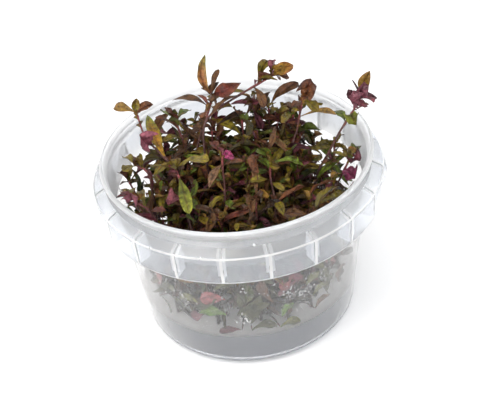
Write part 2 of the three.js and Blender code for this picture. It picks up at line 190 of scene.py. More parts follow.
# Short shoots between them as [x, y, height of the tip]
UNDERGROWTH = [
    [2, -30, 56], [-13, -30, 54], [20, -26, 55], [32, -13, 50], [32, 9, 56], [20, 16, 66],
    [3, 14, 67], [8, 29, 48], [-10, 21, 60], [-26, 22, 56], [-33, 6, 52], [9, -3, 65],
    [22, 26, 60], [4, -20, 60], [-20, 1, 62], [-32, -11, 50], [12, 21, 66], [-7, 12, 67], [11, -31, 52],
]
CROWN_PAIRS = 3
PAIR_SPACING = 7.5
FOOT_PAIR = 20
UNDER_LEAF = 13
UNDER_LEAF_WIDTH = 4
UNDER_COLOURS = ["green", "olive", "brown", "rust", "olive", "brown"]
UNDER_LEAN = (1.05, 1.2)
UNDER_BOW = 1.5
UNDER_TURN = 15
UNDER_RISE = (5, 35)
UNDER_SPREAD = 0.15
UNDER_CURL = (-0.15, 0.1)
UNDER_NARROW = 0.85

# Thin shoots that fill the tub between all these, taller towards the back and shorter at the wall
TANGLE_SHOOTS = 130
TANGLE_RADIUS = 27
TANGLE_LEAN = (1.12, 1.38)
TANGLE_CENTRE = (0, -2)
TANGLE_HEIGHT = (50, 62)
TANGLE_SLOPE = 0.36
BACK_SPACE = (-22, 5, 25)
TANGLE_EDGE = 19
TANGLE_DROP = 0.6
TANGLE_JUMPS = [-4, 0, 0, 0, 5]
TANGLE_BOW = 1.1
MIDDLE_STRAY = 4
TOP_STRAY = 3
GOLDEN_ANGLE = 137.5
TANGLE_COLOURS = ["olive", "brown", "green", "rust", "olive", "red", "ochre",
                  "straw", "olive", "green", "brown", "olive", "plum", "pink"]
TANGLE_STEM = 0.48
TANGLE_BARE = (20, 38)

# The small leaves in crossed pairs on every stem: length and width, and by how much they vary
SMALL_LEAF = (7.5, 2.5)
SMALL_REACH = (0.45, 1.7)
SMALL_SPACING = 3.6
SPACING_VARIES = (0.8, 1.2)
SMALL_RISE = (-35, 60)
PAIR_STRAY = 30
LEAF_STRAY = 35
LOWEST_LEAVES = 20
MISSING_SHARE = 0.1
TALL_SHOOT_BARE = 56
LOW_SHOOT_BARE = 8

# Large leaves that turn their face to the front, and how some differ from the rest, by shoot and number
TO_FRONT = np.array([0, -0.79, 0.61])
FACING_LEAVES = {
    "left_tall": [1, 2, 3, 5], "middle_tall": [1, 2], "arching": [3], "round_tip": [1],
    "right_tall": [1, 2, 3, 5], "front_left": [2], "middle_low": [2],
}
SPECIAL_LOOKS = {
    "left_tall": {
        1: dict(fold=0.3, twist=0.2, narrow=1.1, blush=0.2, blunt=True),
        2: dict(fold=0.5, twist=0.2, narrow=1, blush=0.6, blunt=True),
        3: dict(fold=0.9, wave=0.5, blunt=True),
        4: dict(fold=0.3, wave=0.3, narrow=1.25, bow=0.06, blush=0.95, shade=1.15, blunt=False,
                colour="amber"),
        5: dict(fold=1, wave=1.2, narrow=1.5, shade=1.15, blunt=True, colour="mauve"),
    },
    "middle_tall": {
        1: dict(fold=0.8, wave=0.9, twist=0.5, narrow=1, bow=0.17, blush=0.95, shade=1.1, colour="straw"),
        2: dict(fold=0.7, wave=1.2, narrow=1, blush=0.5, shade=0.85, blunt=False),
    },
    "arching": {
        1: dict(fold=1.2, wave=0.9, blunt=True),
        3: dict(fold=0.9, wave=1.2, narrow=1.05, blush=0.7, shade=1, blunt=True, colour="ochre"),
    },
    "round_tip": {
        1: dict(fold=1, wave=1.7, curl=-0.05, narrow=1.05, blush=0.9, shade=0.85, blunt=True,
                colour="rust"),
    },
    "right_tall": {
        1: dict(fold=0.9, wave=0.6, narrow=1.2, blunt=False),
        2: dict(fold=0.8, wave=1.3, narrow=1.4, shade=0.9, blunt=True, colour="mauve"),
        3: dict(fold=0.8, wave=1.3, narrow=1.2, shade=0.8, blunt=True, colour="mauve"),
        5: dict(fold=1, wave=1.2, narrow=1.2, blunt=True, colour="lime"),
    },
    "right_low": {
        2: dict(fold=0.8, wave=1.2, narrow=1.4, blunt=True),
        3: dict(fold=0.8, wave=1.2, narrow=1.3, shade=0.6, blunt=True, colour="magenta"),
    },
    "front_left": {
        2: dict(fold=1, wave=1.2, narrow=1.1, blunt=True, colour="mauve"),
    },
    "front_middle": {
        1: dict(fold=0.2, twist=0.1, narrow=1.15, shade=1.1, blunt=True),
        2: dict(fold=0.4, curl=0, twist=0.2, narrow=0.9, blush=0.9, shade=1.1, blunt=True, colour="lime"),
        4: dict(fold=1, wave=1.2, narrow=1.2, blunt=True),
    },
    "front_right": {
        1: dict(fold=0.5, twist=0.1, narrow=1.1, blush=0, shade=1.3),
    },
    "middle_low": {
        1: dict(fold=0.5, wave=0.4, blush=0.1, shade=1.1, blunt=False, colour="tan"),
        2: dict(fold=0.6, wave=0.9, narrow=0.65, shade=1.1, colour="magenta"),
    },
}

# The folded young leaves at the tips
CROWN_COLOURS = {
    "left_tall": ["rust", "ochre", "olive"],
    "arching": ["brown", "mauve", "olive", "rust"],
    "round_tip": ["rust", "ochre", "red"],
    "right_tall": ["mauve", "rust", "pink", "plum"],
}
CROWN_SIZES = {"left_tall": 3, "arching": 6.5, "round_tip": 4, "right_tall": 7}
CROWN_SIZE = 6
SMALL_CROWN_SIZE = 5
CROWN_TURN = 97
CROWN_STRAY = 25
CROWN_RISE = (0, 65)
CROWN_REACH = (0.55, 1.05)
CROWN_SHADE = (0.6, 1.05)

# Leaves that lie against the inside of the wall, as [bearing and height of the root, bearing and height
# of the tip, width, colour]
PRESSED_LEAVES = [
    [-103, 32, -115.5, 31.5, 5, "rosy"], [-104, 24, -118, 24, 4.2, "fresh"],
    [-117, 22.5, -124, 20.5, 4, "plum"], [-97, 35, -88, 22, 6.5, "deep"], [-86, 33, -92, 20, 5, "deep"],
    [-69, 38.5, -76, 34, 4.4, "rosy"], [-42, 33, -50, 40, 4.4, "rosy"], [-58, 24, -49, 27, 3.4, "green"],
    [-97, 16.4, -109, 15.6, 3.4, "plum"], [-92, 16, -79, 17.2, 4.2, "deep"],
    [-77, 15, -66, 15.4, 3.8, "green"], [-56, 17, -46.5, 20, 3.2, "brown"],
    [-76, 20, -70, 26, 3.8, "fresh"], [-149, 36, -139, 31, 5, "rosy"],
    [-146, 22.5, -137.5, 17.3, 2.6, "deep"], [-132, 20, -124, 24, 3, "deep"],
    [-130, 39.5, -121.5, 37.4, 3.4, "green"], [-120, 43, -113, 39, 4, "deep"],
    [-135, 27, -126, 23, 3, "deep"], [-118, 28, -127, 30, 3.6, "green"], [-86, 44, -80, 38, 4.4, "deep"],
    [-64, 43, -57, 40, 4, "deep"], [-36, 42, -44, 37, 4, "green"], [-44, 26, -52, 31, 4, "deep"],
    [-62, 31, -55, 35, 4, "green"], [-80, 28, -86, 40, 4, "brown"], [-108, 36, -98, 41, 4, "deep"],
]

# More of them, placed by chance all round, and the leaves that the gel has set around
MORE_PRESSED = 50
FIRST_PRESSED = -160
PRESSED_HEIGHT = (24, 44)
PRESSED_TURN = (6, 12)
PRESSED_RISE = (-6, 4)
PRESSED_WIDTH = (2.6, 4.6)
PRESSED_COLOURS = ["deep", "deep", "green", "brown", "olive", "deep", "plum"]
PRESSED_FOOT = 25
PRESSED_SHADE = (0.7, 1.05)
PRESSED_DEPTHS = (1.6, 0.8)
GEL_LEAVES = [
    [-142, 12, -133, 5, 5.5, "rosy"], [-95, 3.4, -82, 3.2, 3.4, "rosy"], [-40, 9, -33, 5, 4, "brown"],
    [60, 8, 70, 5, 4, "red"], [130, 6, 121, 4.5, 4, "olive"],
]
GEL_LEAF_DEPTHS = (0.5, 0.4)

# Dew on the inside of the wall, as [bearing, height, half width in degrees, half height, beads], and the
# finer mist around it
DEW_PATCHES = [[-95.5, 23.5, 3, 3.4, 26], [-63.5, 30.7, 3.3, 2.2, 18], [-72.5, 33, 5.6, 3, 22],
               [-54.5, 34, 2, 4.5, 14], [-125, 30, 6, 6, 16], [90, 30, 80, 12, 60], [-90, 36, 90, 9, 50]]
DEW_BEAD = (0.16, 0.38)
MIST_PATCHES = [[-119, 28, 9, 8, 500], [-101, 30, 12, 7, 500], [-70, 28, 12, 8, 600], [-50, 30, 8, 10, 600],
                [-30, 28, 12, 12, 900], [-145, 27, 14, 11, 900],
                [30, 32, 26, 8, 500], [90, 30, 26, 8, 500], [150, 32, 26, 8, 500]]
MIST_BEAD = (0.05, 0.13)
MIST_MARGIN = 0.4
PATCH_SPREAD = 0.6
BEAD_LEVELS = (GEL_LEVEL + 1, SKIRT_BOTTOM + 6)
BEAD_GAP = 0.02
BEAD_STRETCH = 1.15
BEAD_DEPTH = 0.55
BEAD_TOP = 75

# Stray drops on the ledge, as [bearing, distance out, height, size], and the rise of the way they face
LEDGE_RISE = 1.6
LEDGE_DROPS = [[-128, 49.6, 57.75, 0.45], [-107.5, 49.6, 57.75, 0.5], [-87, 46.6, 60.05, 0.5]]

# Area lights as [place, size, watts, colour], and half the floor's width, all in metres
FLOOR_HALF = 3
LIGHTS = {
    "key_light": [(-0.3, -0.25, 0.65), 0.35, 2.2, (1, 0.98, 0.95)],
    "front_light": [(-0.1, -0.9, 0.12), 0.7, 8, (1, 1, 1)],
    "side_light": [(0.55, 0.1, 0.4), 0.4, 0.8, (0.95, 0.98, 1)],
}
SKY_STRENGTH = 1.05

# The floor's depth below the tub, in millimetres, which keeps the two apart
FLOOR_DROP = 0.2

# The photograph's view
PHOTO_WIDTH = 480
AIM = Vector((0, 0, 35)) * MM
CAMERA_DISTANCE = 421.4 * MM
CAMERA_ELEVATION = math.radians(37.68)
CAMERA_ROLL = math.radians(-6.44)
FOCAL_PIXELS = 1185.4
SENSOR_WIDTH = 36
SHIFT = (-3.37 / PHOTO_WIDTH, 8.46 / PHOTO_WIDTH)
CLIP = (0.01, 20)

# Where the random numbers start: the undergrowth's own, the water's and all other growth's
UNDERGROWTH_SEED = 20
WATER_SEED = 11
GROWTH_SEED = 5


def linear(hexadecimal):
    """The linear colour of a web colour."""
    parts = [int(hexadecimal[i:i + 2], 16) / 255 for i in (0, 2, 4)]
    return np.array([p / 12.92 if p <= 0.04045 else ((p + 0.055) / 1.055) ** 2.4 for p in parts])


def leaf_colour(hexadecimal):
    """The linear colour of a web colour, made richer against the shine of the leaf's skin."""
    colour = linear(hexadecimal)
    return np.maximum(colour.mean() + (colour - colour.mean()) * RICHNESS, 0.004)


# Face, underside and margin of each colour of leaf
LEAF_COLOURS = {
    "olive": ("7a6e20", "766036", "5f3d1c"),
    "green": ("627426", "6a6a34", "4d421c"),
    "ochre": ("987838", "947046", "7a4a26"),
    "rust": ("74482a", "72483a", "4e2a1c"),
    "brown": ("604224", "6a4a38", "42281a"),
    "red": ("6a342a", "74443c", "744a2e"),
    "pink": ("84464e", "8e5a60", "5a2a32"),
    "plum": ("5e2c36", "7a4c54", "3e1c26"),
    "magenta": ("9c4468", "aa5a78", "6a2a44"),
    "rosy": ("96484c", "9c6060", "743038"),
    "mauve": ("824d58", "8c5e68", "5a2a34"),
    "amber": ("8c6616", "7c6a30", "72762a"),
    "lime": ("5c6022", "6c6c38", "787a2a"),
    "tan": ("7f6045", "7c604c", "5e3a2a"),
    "straw": ("865832", "7e6044", "7e733d"),
    "fresh": ("5c8a24", "6c8a3c", "4a6a20"),
    "deep": ("36421a", "4a4a28", "2c3016"),
}
RICHNESS = 1.1
STEM_DARK = linear("301c20")
STEM_RED = linear("5e2e32")
STEM_TIP = linear("94484a")
STEM_GREEN = linear("5e4e2e")

# Ranges in which leaves differ: the large ones that were planned, and the small ones between them
LARGE = {"twist": (-0.5, 0.5), "curl": (-0.14, 0.06), "wave": (0.2, 0.6), "fold": (0.15, 0.7),
         "bow": (-0.08, 0.08), "shade": (0.72, 1.08), "blush": (0, 0.5), "narrow": (0.9, 1.1)}
SMALL = {"twist": (-1.8, 1.8), "curl": (-0.65, 0.3), "wave": (0.3, 1.1), "fold": (0.3, 1.4),
         "bow": (-0.2, 0.2), "shade": (0.3, 1.3), "blush": (0, 0.7), "narrow": (0.5, 1.15)}
BLUNT_SHARE = 0.75
# How dark the lowest leaves get, and the heights over which they lighten: partly older leaves, partly painted
# shade deep in the mass
LOWEST_AGE_AND_SHADE = 0.5
AGE_AND_SHADE_HEIGHTS = (22, 58)
FLAT_LOOK = {"fold": 0.1, "twist": 0.1, "wave": 0.25, "curl": 0}


# Numbers and curves

seed = UNDERGROWTH_SEED


def stream():
    """A repeatable stream of numbers from 0 to 1, the one that placed the undergrowth."""
    global seed
    seed = (seed * 48271) % 2147483647
    return seed / 2147483647


def between(low, high):
    return low + (high - low) * stream()


def stray(chance, reach):
    """A number by chance, as far as the reach to either side of 0."""
    return chance.uniform(-reach, reach)


def smooth(low, high, value):
    share = np.clip((value - low) / (high - low), 0, 1)
    return share * share * (3 - 2 * share)


def wall_radius(z):
    return BASE_RADIUS + WALL_SLOPE * z


def inner_radius(z):
    return wall_radius(z) - WALL


def skirt_radius(z):
    return SKIRT_RADIUS + (COLLAR_RADIUS - SKIRT_RADIUS) * (z - SKIRT_BOTTOM) / (LEDGE_EDGE - SKIRT_BOTTOM)


def at(bearing, radius, z):
    """The point at a bearing in degrees, a distance from the axis and a height."""
    b = math.radians(bearing)
    return np.array([radius * math.cos(b), radius * math.sin(b), z])


def on_wall(bearing, z, depth):
    return at(bearing, inner_radius(z) - depth, z)


def heading(bearing, rise):
    """A direction from its compass bearing and its rise, in degrees."""
    b, r = math.radians(bearing), math.radians(rise)
    return np.array([math.cos(r) * math.cos(b), math.cos(r) * math.sin(b), math.sin(r)])


def unit(vector):
    return vector / np.linalg.norm(vector)


def stem_line(points, samples=121):
    """Points at equal steps along a centripetal spline through the stem's points."""
    places = [np.array([p[0], p[1], p[2] if len(p) > 2 else STEM_FOOT], float) for p in points]
    places = [2 * places[0] - places[1], *places, 2 * places[-1] - places[-2]]
    fine = []
    for p0, p1, p2, p3 in zip(places, places[1:], places[2:], places[3:]):
        d0, d1, d2 = (max(np.linalg.norm(b - a), 1e-6) ** 0.5 for a, b in ((p0, p1), (p1, p2), (p2, p3)))
        start = ((p1 - p0) / d0 - (p2 - p0) / (d0 + d1) + (p2 - p1) / d1) * d1
        end = ((p2 - p1) / d1 - (p3 - p1) / (d1 + d2) + (p3 - p2) / d2) * d1
        t = np.linspace(0, 1, 60, endpoint=False)[:, None]
        fine.append(p1 + start * t + (3 * (p2 - p1) - 2 * start - end) * t ** 2
                    + (2 * (p1 - p2) + start + end) * t ** 3)
    fine = np.vstack([*fine, places[-2]])
    steps = np.r_[0, np.cumsum(np.linalg.norm(np.diff(fine, axis=0), axis=1))]
    even = np.linspace(0, steps[-1], samples)
    return np.stack([np.interp(even, steps, fine[:, k]) for k in range(3)], axis=1)


def line_length(line):
    return np.linalg.norm(np.diff(line, axis=0), axis=1).sum()


def on_line(line, share):
    place = np.clip(share, 0, 1) * (len(line) - 1)
    low = min(int(place), len(line) - 2)
    return line[low] + (line[low + 1] - line[low]) * (place - low)


def keep_inside(points, clearance):
    """Moves points in towards the axis until they are clear of the tub's wall, below the rim only."""
    points = np.atleast_2d(points).astype(float)
    radius = np.hypot(points[:, 0], points[:, 1])
    most = inner_radius(np.minimum(points[:, 2], TUB_HEIGHT)) - clearance
    outside = (points[:, 2] < TUB_HEIGHT + RIM_CLEARANCE) & (radius > most)
    shrink = np.where(outside, most / np.maximum(radius, 1), 1)
    points[:, :2] *= shrink[:, None]
    return points


# Pieces, and heaps of growth, which become one piece each


def new_mesh(name, points, faces):
    """A mesh of points in metres."""
    mesh = bpy.data.meshes.new(name)
    mesh.from_pydata(points, [], faces)
    return mesh


def new_object(name, data):
    """An object in the scene that shows a mesh, a light or a camera."""
    made = bpy.data.objects.new(name, data)
    bpy.context.scene.collection.objects.link(made)
    return made


def finish_mesh(name, mesh, material, crease):
    """An object of a mesh, smooth apart from edges sharper than the crease angle."""
    mesh.polygons.foreach_set("use_smooth", [True] * len(mesh.polygons))
    mesh.set_sharp_from_angle(angle=math.radians(crease))
    mesh.update()
    mesh.materials.clear()
    mesh.materials.append(material)
    return new_object(name, mesh)


def settle(piece, slot, *nodes):
    """The piece rides on the tub's body and stands for its nodes, which it hides; its slot is not used."""
    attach(piece, "root")
    if nodes:
        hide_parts(*nodes)


class Growth:
    """Points, faces, a tint and a place on the leaf or stem for each point, all in one heap."""

    def __init__(self):
        self.points, self.faces, self.tints, self.places = [], [], [], []
        self.count = 0

    def add(self, points, faces, tints, places):
        self.points.append(points)
        if isinstance(faces, np.ndarray):
            self.faces.extend((faces + self.count).tolist())
        else:
            self.faces.extend([[i + self.count for i in face] for face in faces])
        self.tints.append(tints)
        self.places.append(places)
        self.count += len(points)

    def settle(self, name, slot, *nodes):
        """Turns the heap into a piece and settles it."""
        mesh = new_mesh(name, np.vstack(self.points) * MM, self.faces)
        tint = mesh.color_attributes.new("tint", "FLOAT_COLOR", "POINT")
        colours = np.ones((self.count, 4), np.float32)
        colours[:, :3] = np.vstack(self.tints)
        tint.data.foreach_set("color", colours.ravel())
        corners = np.zeros(len(mesh.loops), np.int32)
        mesh.loops.foreach_get("vertex_index", corners)
        places = mesh.uv_layers.new(name="place")
        places.data.foreach_set("uv", np.vstack(self.places)[corners].astype(np.float32).ravel())
        settle(finish_mesh(name, mesh, leaf_skin, LEAF_CREASE), slot, *nodes)


# Leaves and stems


def leaf_outline(along, blunt):
    """Half width of a leaf along its length, as a share of the widest, with a rounded or a pointed tip."""
    base = 0.15 + 0.85 * smooth(0.02, 0.66 if blunt else 0.5, along)
    end = np.clip((along - 0.5) / 0.5, 0, 1)
    power, root = (5, 0.5) if blunt else (1.8, 0.9)
    return np.maximum(base * (1 - end ** power) ** root, 0.09)


def leaf_look(chance, colour, ranges, changes=()):
    """How one leaf differs from the next: its tip, twist, curl, waves and shade."""
    look = {name: chance.uniform(*limits) for name, limits in ranges.items()}
    look["blunt"] = chance.random() < BLUNT_SHARE
    look["phase"] = chance.uniform(0, 2 * math.pi)
    look["colour"] = colour
    look.update(changes)
    return look


@functools.cache
def sheet_faces(rows, columns):
    """Faces of a thin closed sheet, whose two sides share the points of its rim."""
    count = (rows + 1) * (columns + 1)
    upper = np.arange(count).reshape(rows + 1, columns + 1)
    lower = upper.copy()
    lower[1:rows, 1:columns] = count + np.arange((rows - 1) * (columns - 1)).reshape(rows - 1, columns - 1)
    faces = []
    for i in range(rows):
        for j in range(columns):
            faces.append((upper[i, j], upper[i + 1, j], upper[i + 1, j + 1], upper[i, j + 1]))
            faces.append((lower[i, j], lower[i, j + 1], lower[i + 1, j + 1], lower[i + 1, j]))
    return np.array(faces)


def blade(growth, root, tip, width, look, cells=PLAIN_LEAF_FACES, upward=(0, 0, 1)):
    """A leaf from root to tip as one thin closed sheet: cupped along its midrib, arched, twisted, waved."""
    rows, columns = cells
    along = tip - root
    length = np.linalg.norm(along)
    along = along / length
    across = np.cross(upward, along)
    across = unit(across) if np.linalg.norm(across) > 1e-3 else np.array([1.0, 0, 0])
    facing = np.cross(along, across)
    t = 1 - (1 - np.linspace(0, 1, rows + 1)) ** 1.3
    s = np.linspace(-1, 1, columns + 1)
    t, s = np.meshgrid(t, s, indexing="ij")
    half = width / 2 * look["narrow"] * leaf_outline(t, look["blunt"])
    side = s * half
    edge = np.abs(s)
    ripple = np.sin(9 * t + look["phase"] + 1.6 * np.sign(s)) + 0.5 * np.sin(17 * t - 2 * look["phase"])
    lift = look["fold"] * np.abs(side) + look["wave"] * half * edge * ripple * 0.45
    turn = look["twist"] * t
    side, lift = side * np.cos(turn) - lift * np.sin(turn), side * np.sin(turn) + lift * np.cos(turn)
    bend = LEAF_ARCH * length * 4 * t * (1 - t) + look["curl"] * length * t ** 2.5
    sway = look["bow"] * length * 4 * t * (1 - t)
    thick = LEAF_THICKNESS / 2 * (1 - edge) * (1 - 0.5 * t)
    spine = root + along * (t * length)[..., None] + across * sway[..., None]
    inside = (slice(1, rows), slice(1, columns))

    def sheet(sign):
        rise = (lift + bend + sign * thick)[..., None]
        return spine + across * side[..., None] + facing * rise

    face, under, margin = (leaf_colour(shade) for shade in LEAF_COLOURS[look["colour"]])
    rim = (smooth(0.45, 1, edge) * 0.5 + smooth(0.5, 1, t) * look["blush"])[..., None]
    rib = (1 - smooth(0.05, 0.3, edge))[..., None] * 0.35
    top = (face * (1 - rim) + margin * rim) * look["shade"]
    top = top * (1 - rib) + STEM_RED * look["shade"] * rib
    back = (under * (1 - 0.5 * rim) + margin * 0.5 * rim) * look["shade"]
    spot = np.stack([t, s * 0.5 + 0.5], axis=-1)
    growth.add(
        keep_inside(np.vstack([sheet(1).reshape(-1, 3), sheet(-1)[inside].reshape(-1, 3)]), SKIN_CLEARANCE),
        sheet_faces(rows, columns),
        np.vstack([top.reshape(-1, 3), back[inside].reshape(-1, 3)]),
        np.vstack([spot.reshape(-1, 2), spot[inside].reshape(-1, 2)]),
    )


def stalk(growth, line, radius, sides, rings, knots=()):
    """A stem along a line, thinner towards its tip and swollen at the knots that carry leaves."""
    centres = np.array([on_line(line, share) for share in np.linspace(0, 1, rings)])
    ahead = np.gradient(centres, axis=0)
    ahead /= np.linalg.norm(ahead, axis=1)[:, None]
    side = unit(np.cross(ahead[0], [0.3, 1, 0.2]))
    points, tints, places = [], [], []
    for i, (centre, forward) in enumerate(zip(centres, ahead)):
        side = unit(side - forward * (side @ forward))
        other = np.cross(forward, side)
        share = i / (rings - 1)
        swell = sum(math.exp(-((share - knot) / KNOT_LENGTH) ** 2) for knot in knots)
        thick = radius * (STEM_START - STEM_TAPER * share) * (1 + KNOT_SWELL * min(swell, 1))
        if i == rings - 1:
            thick *= STEM_END
        red = smooth(0.35, 0.95, share)
        fresh = smooth(0.85, 1, share)
        tint = STEM_DARK * (1 - red) + (STEM_RED * 0.75 + STEM_GREEN * 0.25) * red
        tint = tint * (1 - fresh) + STEM_TIP * fresh
        for k in range(sides):
            angle = 2 * math.pi * k / sides
            points.append(centre + thick * (side * math.cos(angle) + other * math.sin(angle)))
            tints.append(tint * (0.85 + 0.3 * (k % 2)))
            places.append((share * 12, k / sides))
    faces = [tuple(reversed(range(sides))), tuple(range((rings - 1) * sides, rings * sides))]
    for i in range(rings - 1):
        for k in range(sides):
            a, b = i * sides + k, i * sides + (k + 1) % sides
            faces.append((a, b, b + sides, a + sides))
    growth.add(np.array(points), faces, np.array(tints), np.array(places))


def leaf_ends(line, leaf, apart):
    """Root and tip of a planned leaf on its stem."""
    share, bearing, rise, length = leaf[:4]
    start = STEM_RADIUS + LEAF_GAP if apart else -STEM_RADIUS / 2
    if not apart:
        share = min(share, 1 - STEM_RADIUS / line_length(line))
    direction = heading(bearing, rise)
    root = on_line(line, share) + direction * start
    tip = keep_inside(root + direction * (length - start), WALL_CLEARANCE)[0]
    return root - direction * (start - STEM_RADIUS * 0.3), tip


def age_and_painted_shade(z):
    """Leaves lower down are darker: partly because older leaves are, partly as painted shade for the depth of
    the mass.
    """
    return LOWEST_AGE_AND_SHADE + (1 - LOWEST_AGE_AND_SHADE) * float(smooth(*AGE_AND_SHADE_HEIGHTS, z))


def crown(growth, line, chance, colours, size, leaves=5):
    """The folded young leaves at a shoot's tip."""
    onward = unit(line[-1] - line[-8])
    bearing = chance.uniform(0, 360)
    for i in range(leaves):
        turn = bearing + CROWN_TURN * i + stray(chance, CROWN_STRAY)
        outward = heading(turn, chance.uniform(*CROWN_RISE))
        root = on_line(line, 1 - 0.012 * i)
        tip = root + unit(outward + onward * 0.6) * size * chance.uniform(*CROWN_REACH)
        look = leaf_look(chance, chance.choice(colours), SMALL)
        look["shade"] = chance.uniform(*CROWN_SHADE)
        blade(growth, root, tip, size * 0.5, look, SMALL_LEAF_FACES)


def pairs_below(growth, line, chance, high, low=LOWEST_LEAVES):
    """Crossed pairs of small leaves on a stem between two heights."""
    length, width = SMALL_LEAF
    turn = chance.uniform(0, 360)
    z = low + chance.uniform(0, 2)
    shares = []
    while z < high:
        share = float(np.interp(z, line[:, 2], np.linspace(0, 1, len(line))))
        shares.append(share)
        turn += 90 + stray(chance, PAIR_STRAY)
        for half in (0, 180):
            if chance.random() < MISSING_SHARE:
                continue
            direction = heading(turn + half + stray(chance, LEAF_STRAY), chance.uniform(*SMALL_RISE))
            root = on_line(line, share)
            reach = length * chance.uniform(*SMALL_REACH)
            tip = keep_inside(root + direction * reach, SKIN_CLEARANCE * 2)[0]
            look = leaf_look(chance, chance.choice(TANGLE_COLOURS), SMALL)
            # Darker lower down: partly older leaves, partly painted shade deep in the mass
            look["shade"] *= age_and_painted_shade(z)
            blade(growth, root, tip, width * math.sqrt(reach / length), look, SMALL_LEAF_FACES)
        z += SMALL_SPACING * chance.uniform(*SPACING_VARIES)
    return shares


def undergrowth_plan(x, y, height):
    """The stem and leaves of a short shoot, from the same stream of numbers as its solid."""
    lean = between(*UNDER_LEAN)
    middle = [*(k + between(-UNDER_BOW, UNDER_BOW) for k in (x, y)), (STEM_FOOT + height) / 2]
    stem = [[x, y], middle, [x * lean, y * lean, height]]
    twist = between(0, 90)
    leaves = []
    heights = [height - 1 - pair * PAIR_SPACING for pair in range(CROWN_PAIRS)] + [FOOT_PAIR]
    for pair, z in enumerate(heights):
        share = (z - STEM_FOOT) / (height - STEM_FOOT)
        for half in (0, 180):
            bearing = twist + pair * 90 + half + between(-UNDER_TURN, UNDER_TURN)
            rise = between(*UNDER_RISE)
            length = UNDER_LEAF * between(1 - UNDER_SPREAD, 1 + UNDER_SPREAD)
            colour = UNDER_COLOURS[int(stream() * len(UNDER_COLOURS))]
            leaves.append([share, bearing, rise, length, UNDER_LEAF_WIDTH, colour])
    return stem, leaves


def grow_planned_leaf(growth, name, number, line, leaf, chance, apart, cells):
    """A leaf of the plan on its stem. Where it grows apart, it reaches the stem across the solids' gap."""
    root, tip = leaf_ends(line, leaf, apart)
    look = leaf_look(chance, leaf[5], LARGE, SPECIAL_LOOKS.get(name, {}).get(number, {}))
    upward = TO_FRONT if number in FACING_LEAVES.get(name, []) else (0, 0, 1)
    blade(growth, root, tip, leaf[4], look, cells, upward)


def grow_tall_shoot(name, stem, leaves, chance):
    """A tall shoot: its stem with the small leaves on it, and each large leaf as a piece of its own."""
    line = stem_line(stem)
    wood = Growth()
    knots = pairs_below(wood, line, chance, TALL_SHOOT_BARE)
    knots += [leaf[0] for leaf in leaves]
    stalk(wood, line, STEM_RADIUS, 10, 60, knots)
    colours = CROWN_COLOURS.get(name, [leaf[5] for leaf in leaves])
    crown(wood, line, chance, colours, CROWN_SIZES.get(name, CROWN_SIZE), 7)
    wood.settle(name + "_stalk", "stem", name + "_stem")
    for i, leaf in enumerate(leaves, 1):
        growth = Growth()
        grow_planned_leaf(growth, name, i, line, leaf, chance, True, TALL_LEAF_FACES)
        growth.settle(f"{name}_blade_{i}", "leaf_" + leaf[5], f"{name}_leaf_{i}")


def grow_low_shoot(name, stem, leaves, chance, fine):
    """A lower shoot as one piece with its leaves."""
    line = stem_line(stem)
    growth = Growth()
    knots = [leaf[0] for leaf in leaves]
    knots += pairs_below(growth, line, chance, line[-1][2] - LOW_SHOOT_BARE)
    stalk(growth, line, STEM_RADIUS, 8, 40, knots)
    crown(growth, line, chance, [leaf[5] for leaf in leaves], CROWN_SIZE if fine else SMALL_CROWN_SIZE)
    for i, leaf in enumerate(leaves, 1):
        if fine:
            grow_planned_leaf(growth, name, i, line, leaf, chance, False, LOW_LEAF_FACES)
            continue
        root, tip = leaf_ends(line, leaf, False)
        look = leaf_look(chance, leaf[5], SMALL, {"curl": chance.uniform(*UNDER_CURL)})
        # Darker lower down: partly older leaves, partly painted shade deep in the mass
        look["shade"] *= age_and_painted_shade(root[2])
        blade(growth, root, tip, leaf[4] * UNDER_NARROW, look)
    growth.settle(name + "_growth", "shoot", name)


def grow_tangle(chance):
    """Thin shoots on a sunflower's spiral, which fill the tub, in four pieces by their bearing."""
    quarters = [Growth() for _ in range(4)]
    for i in range(TANGLE_SHOOTS):
        radius = TANGLE_RADIUS * math.sqrt((i + 0.5) / TANGLE_SHOOTS)
        angle = i * math.radians(GOLDEN_ANGLE)
        x = TANGLE_CENTRE[0] + radius * math.cos(angle)
        y = TANGLE_CENTRE[1] + radius * math.sin(angle)
        drop = TANGLE_DROP * max(radius - TANGLE_EDGE, 0)
        height = chance.uniform(*TANGLE_HEIGHT) + TANGLE_SLOPE * y - drop
        height += chance.choice(TANGLE_JUMPS)
        lean = chance.uniform(*TANGLE_LEAN)
        middle = [*(k * TANGLE_BOW + stray(chance, MIDDLE_STRAY) for k in (x, y)), height / 2]
        top = [*(k * lean + stray(chance, TOP_STRAY) for k in (x, y)), height]
        if BACK_SPACE[0] < top[0] < BACK_SPACE[1] and top[1] > BACK_SPACE[2]:
            continue
        line = keep_inside(stem_line([[x, y], middle, top], 61), WALL_CLEARANCE)
        growth = quarters[int(math.degrees(math.atan2(y, x)) % 360 // 90)]
        stalk(growth, line, TANGLE_STEM, 6, 12)
        pairs_below(growth, line, chance, height - 2, chance.uniform(*TANGLE_BARE))
        crown(growth, line, chance, TANGLE_COLOURS, SMALL_CROWN_SIZE)
    for name, growth in zip(("back_right", "back_left", "front_left", "front_right"), quarters):
        growth.settle("tangle_" + name, "shoot")


def pressed_plans(chance):
    """The leaves that lie against the wall: those seen in the photograph, and more all round."""
    plans = list(PRESSED_LEAVES)
    for i in range(MORE_PRESSED):
        bearing = FIRST_PRESSED + i * 360 / MORE_PRESSED + stray(chance, 3)
        z = chance.uniform(*PRESSED_HEIGHT)
        turn = chance.choice([-1, 1]) * chance.uniform(*PRESSED_TURN)
        tip_z = z + chance.uniform(*PRESSED_RISE)
        width = chance.uniform(*PRESSED_WIDTH)
        plans.append([bearing, z, bearing + turn, tip_z, width, chance.choice(PRESSED_COLOURS)])
    return plans


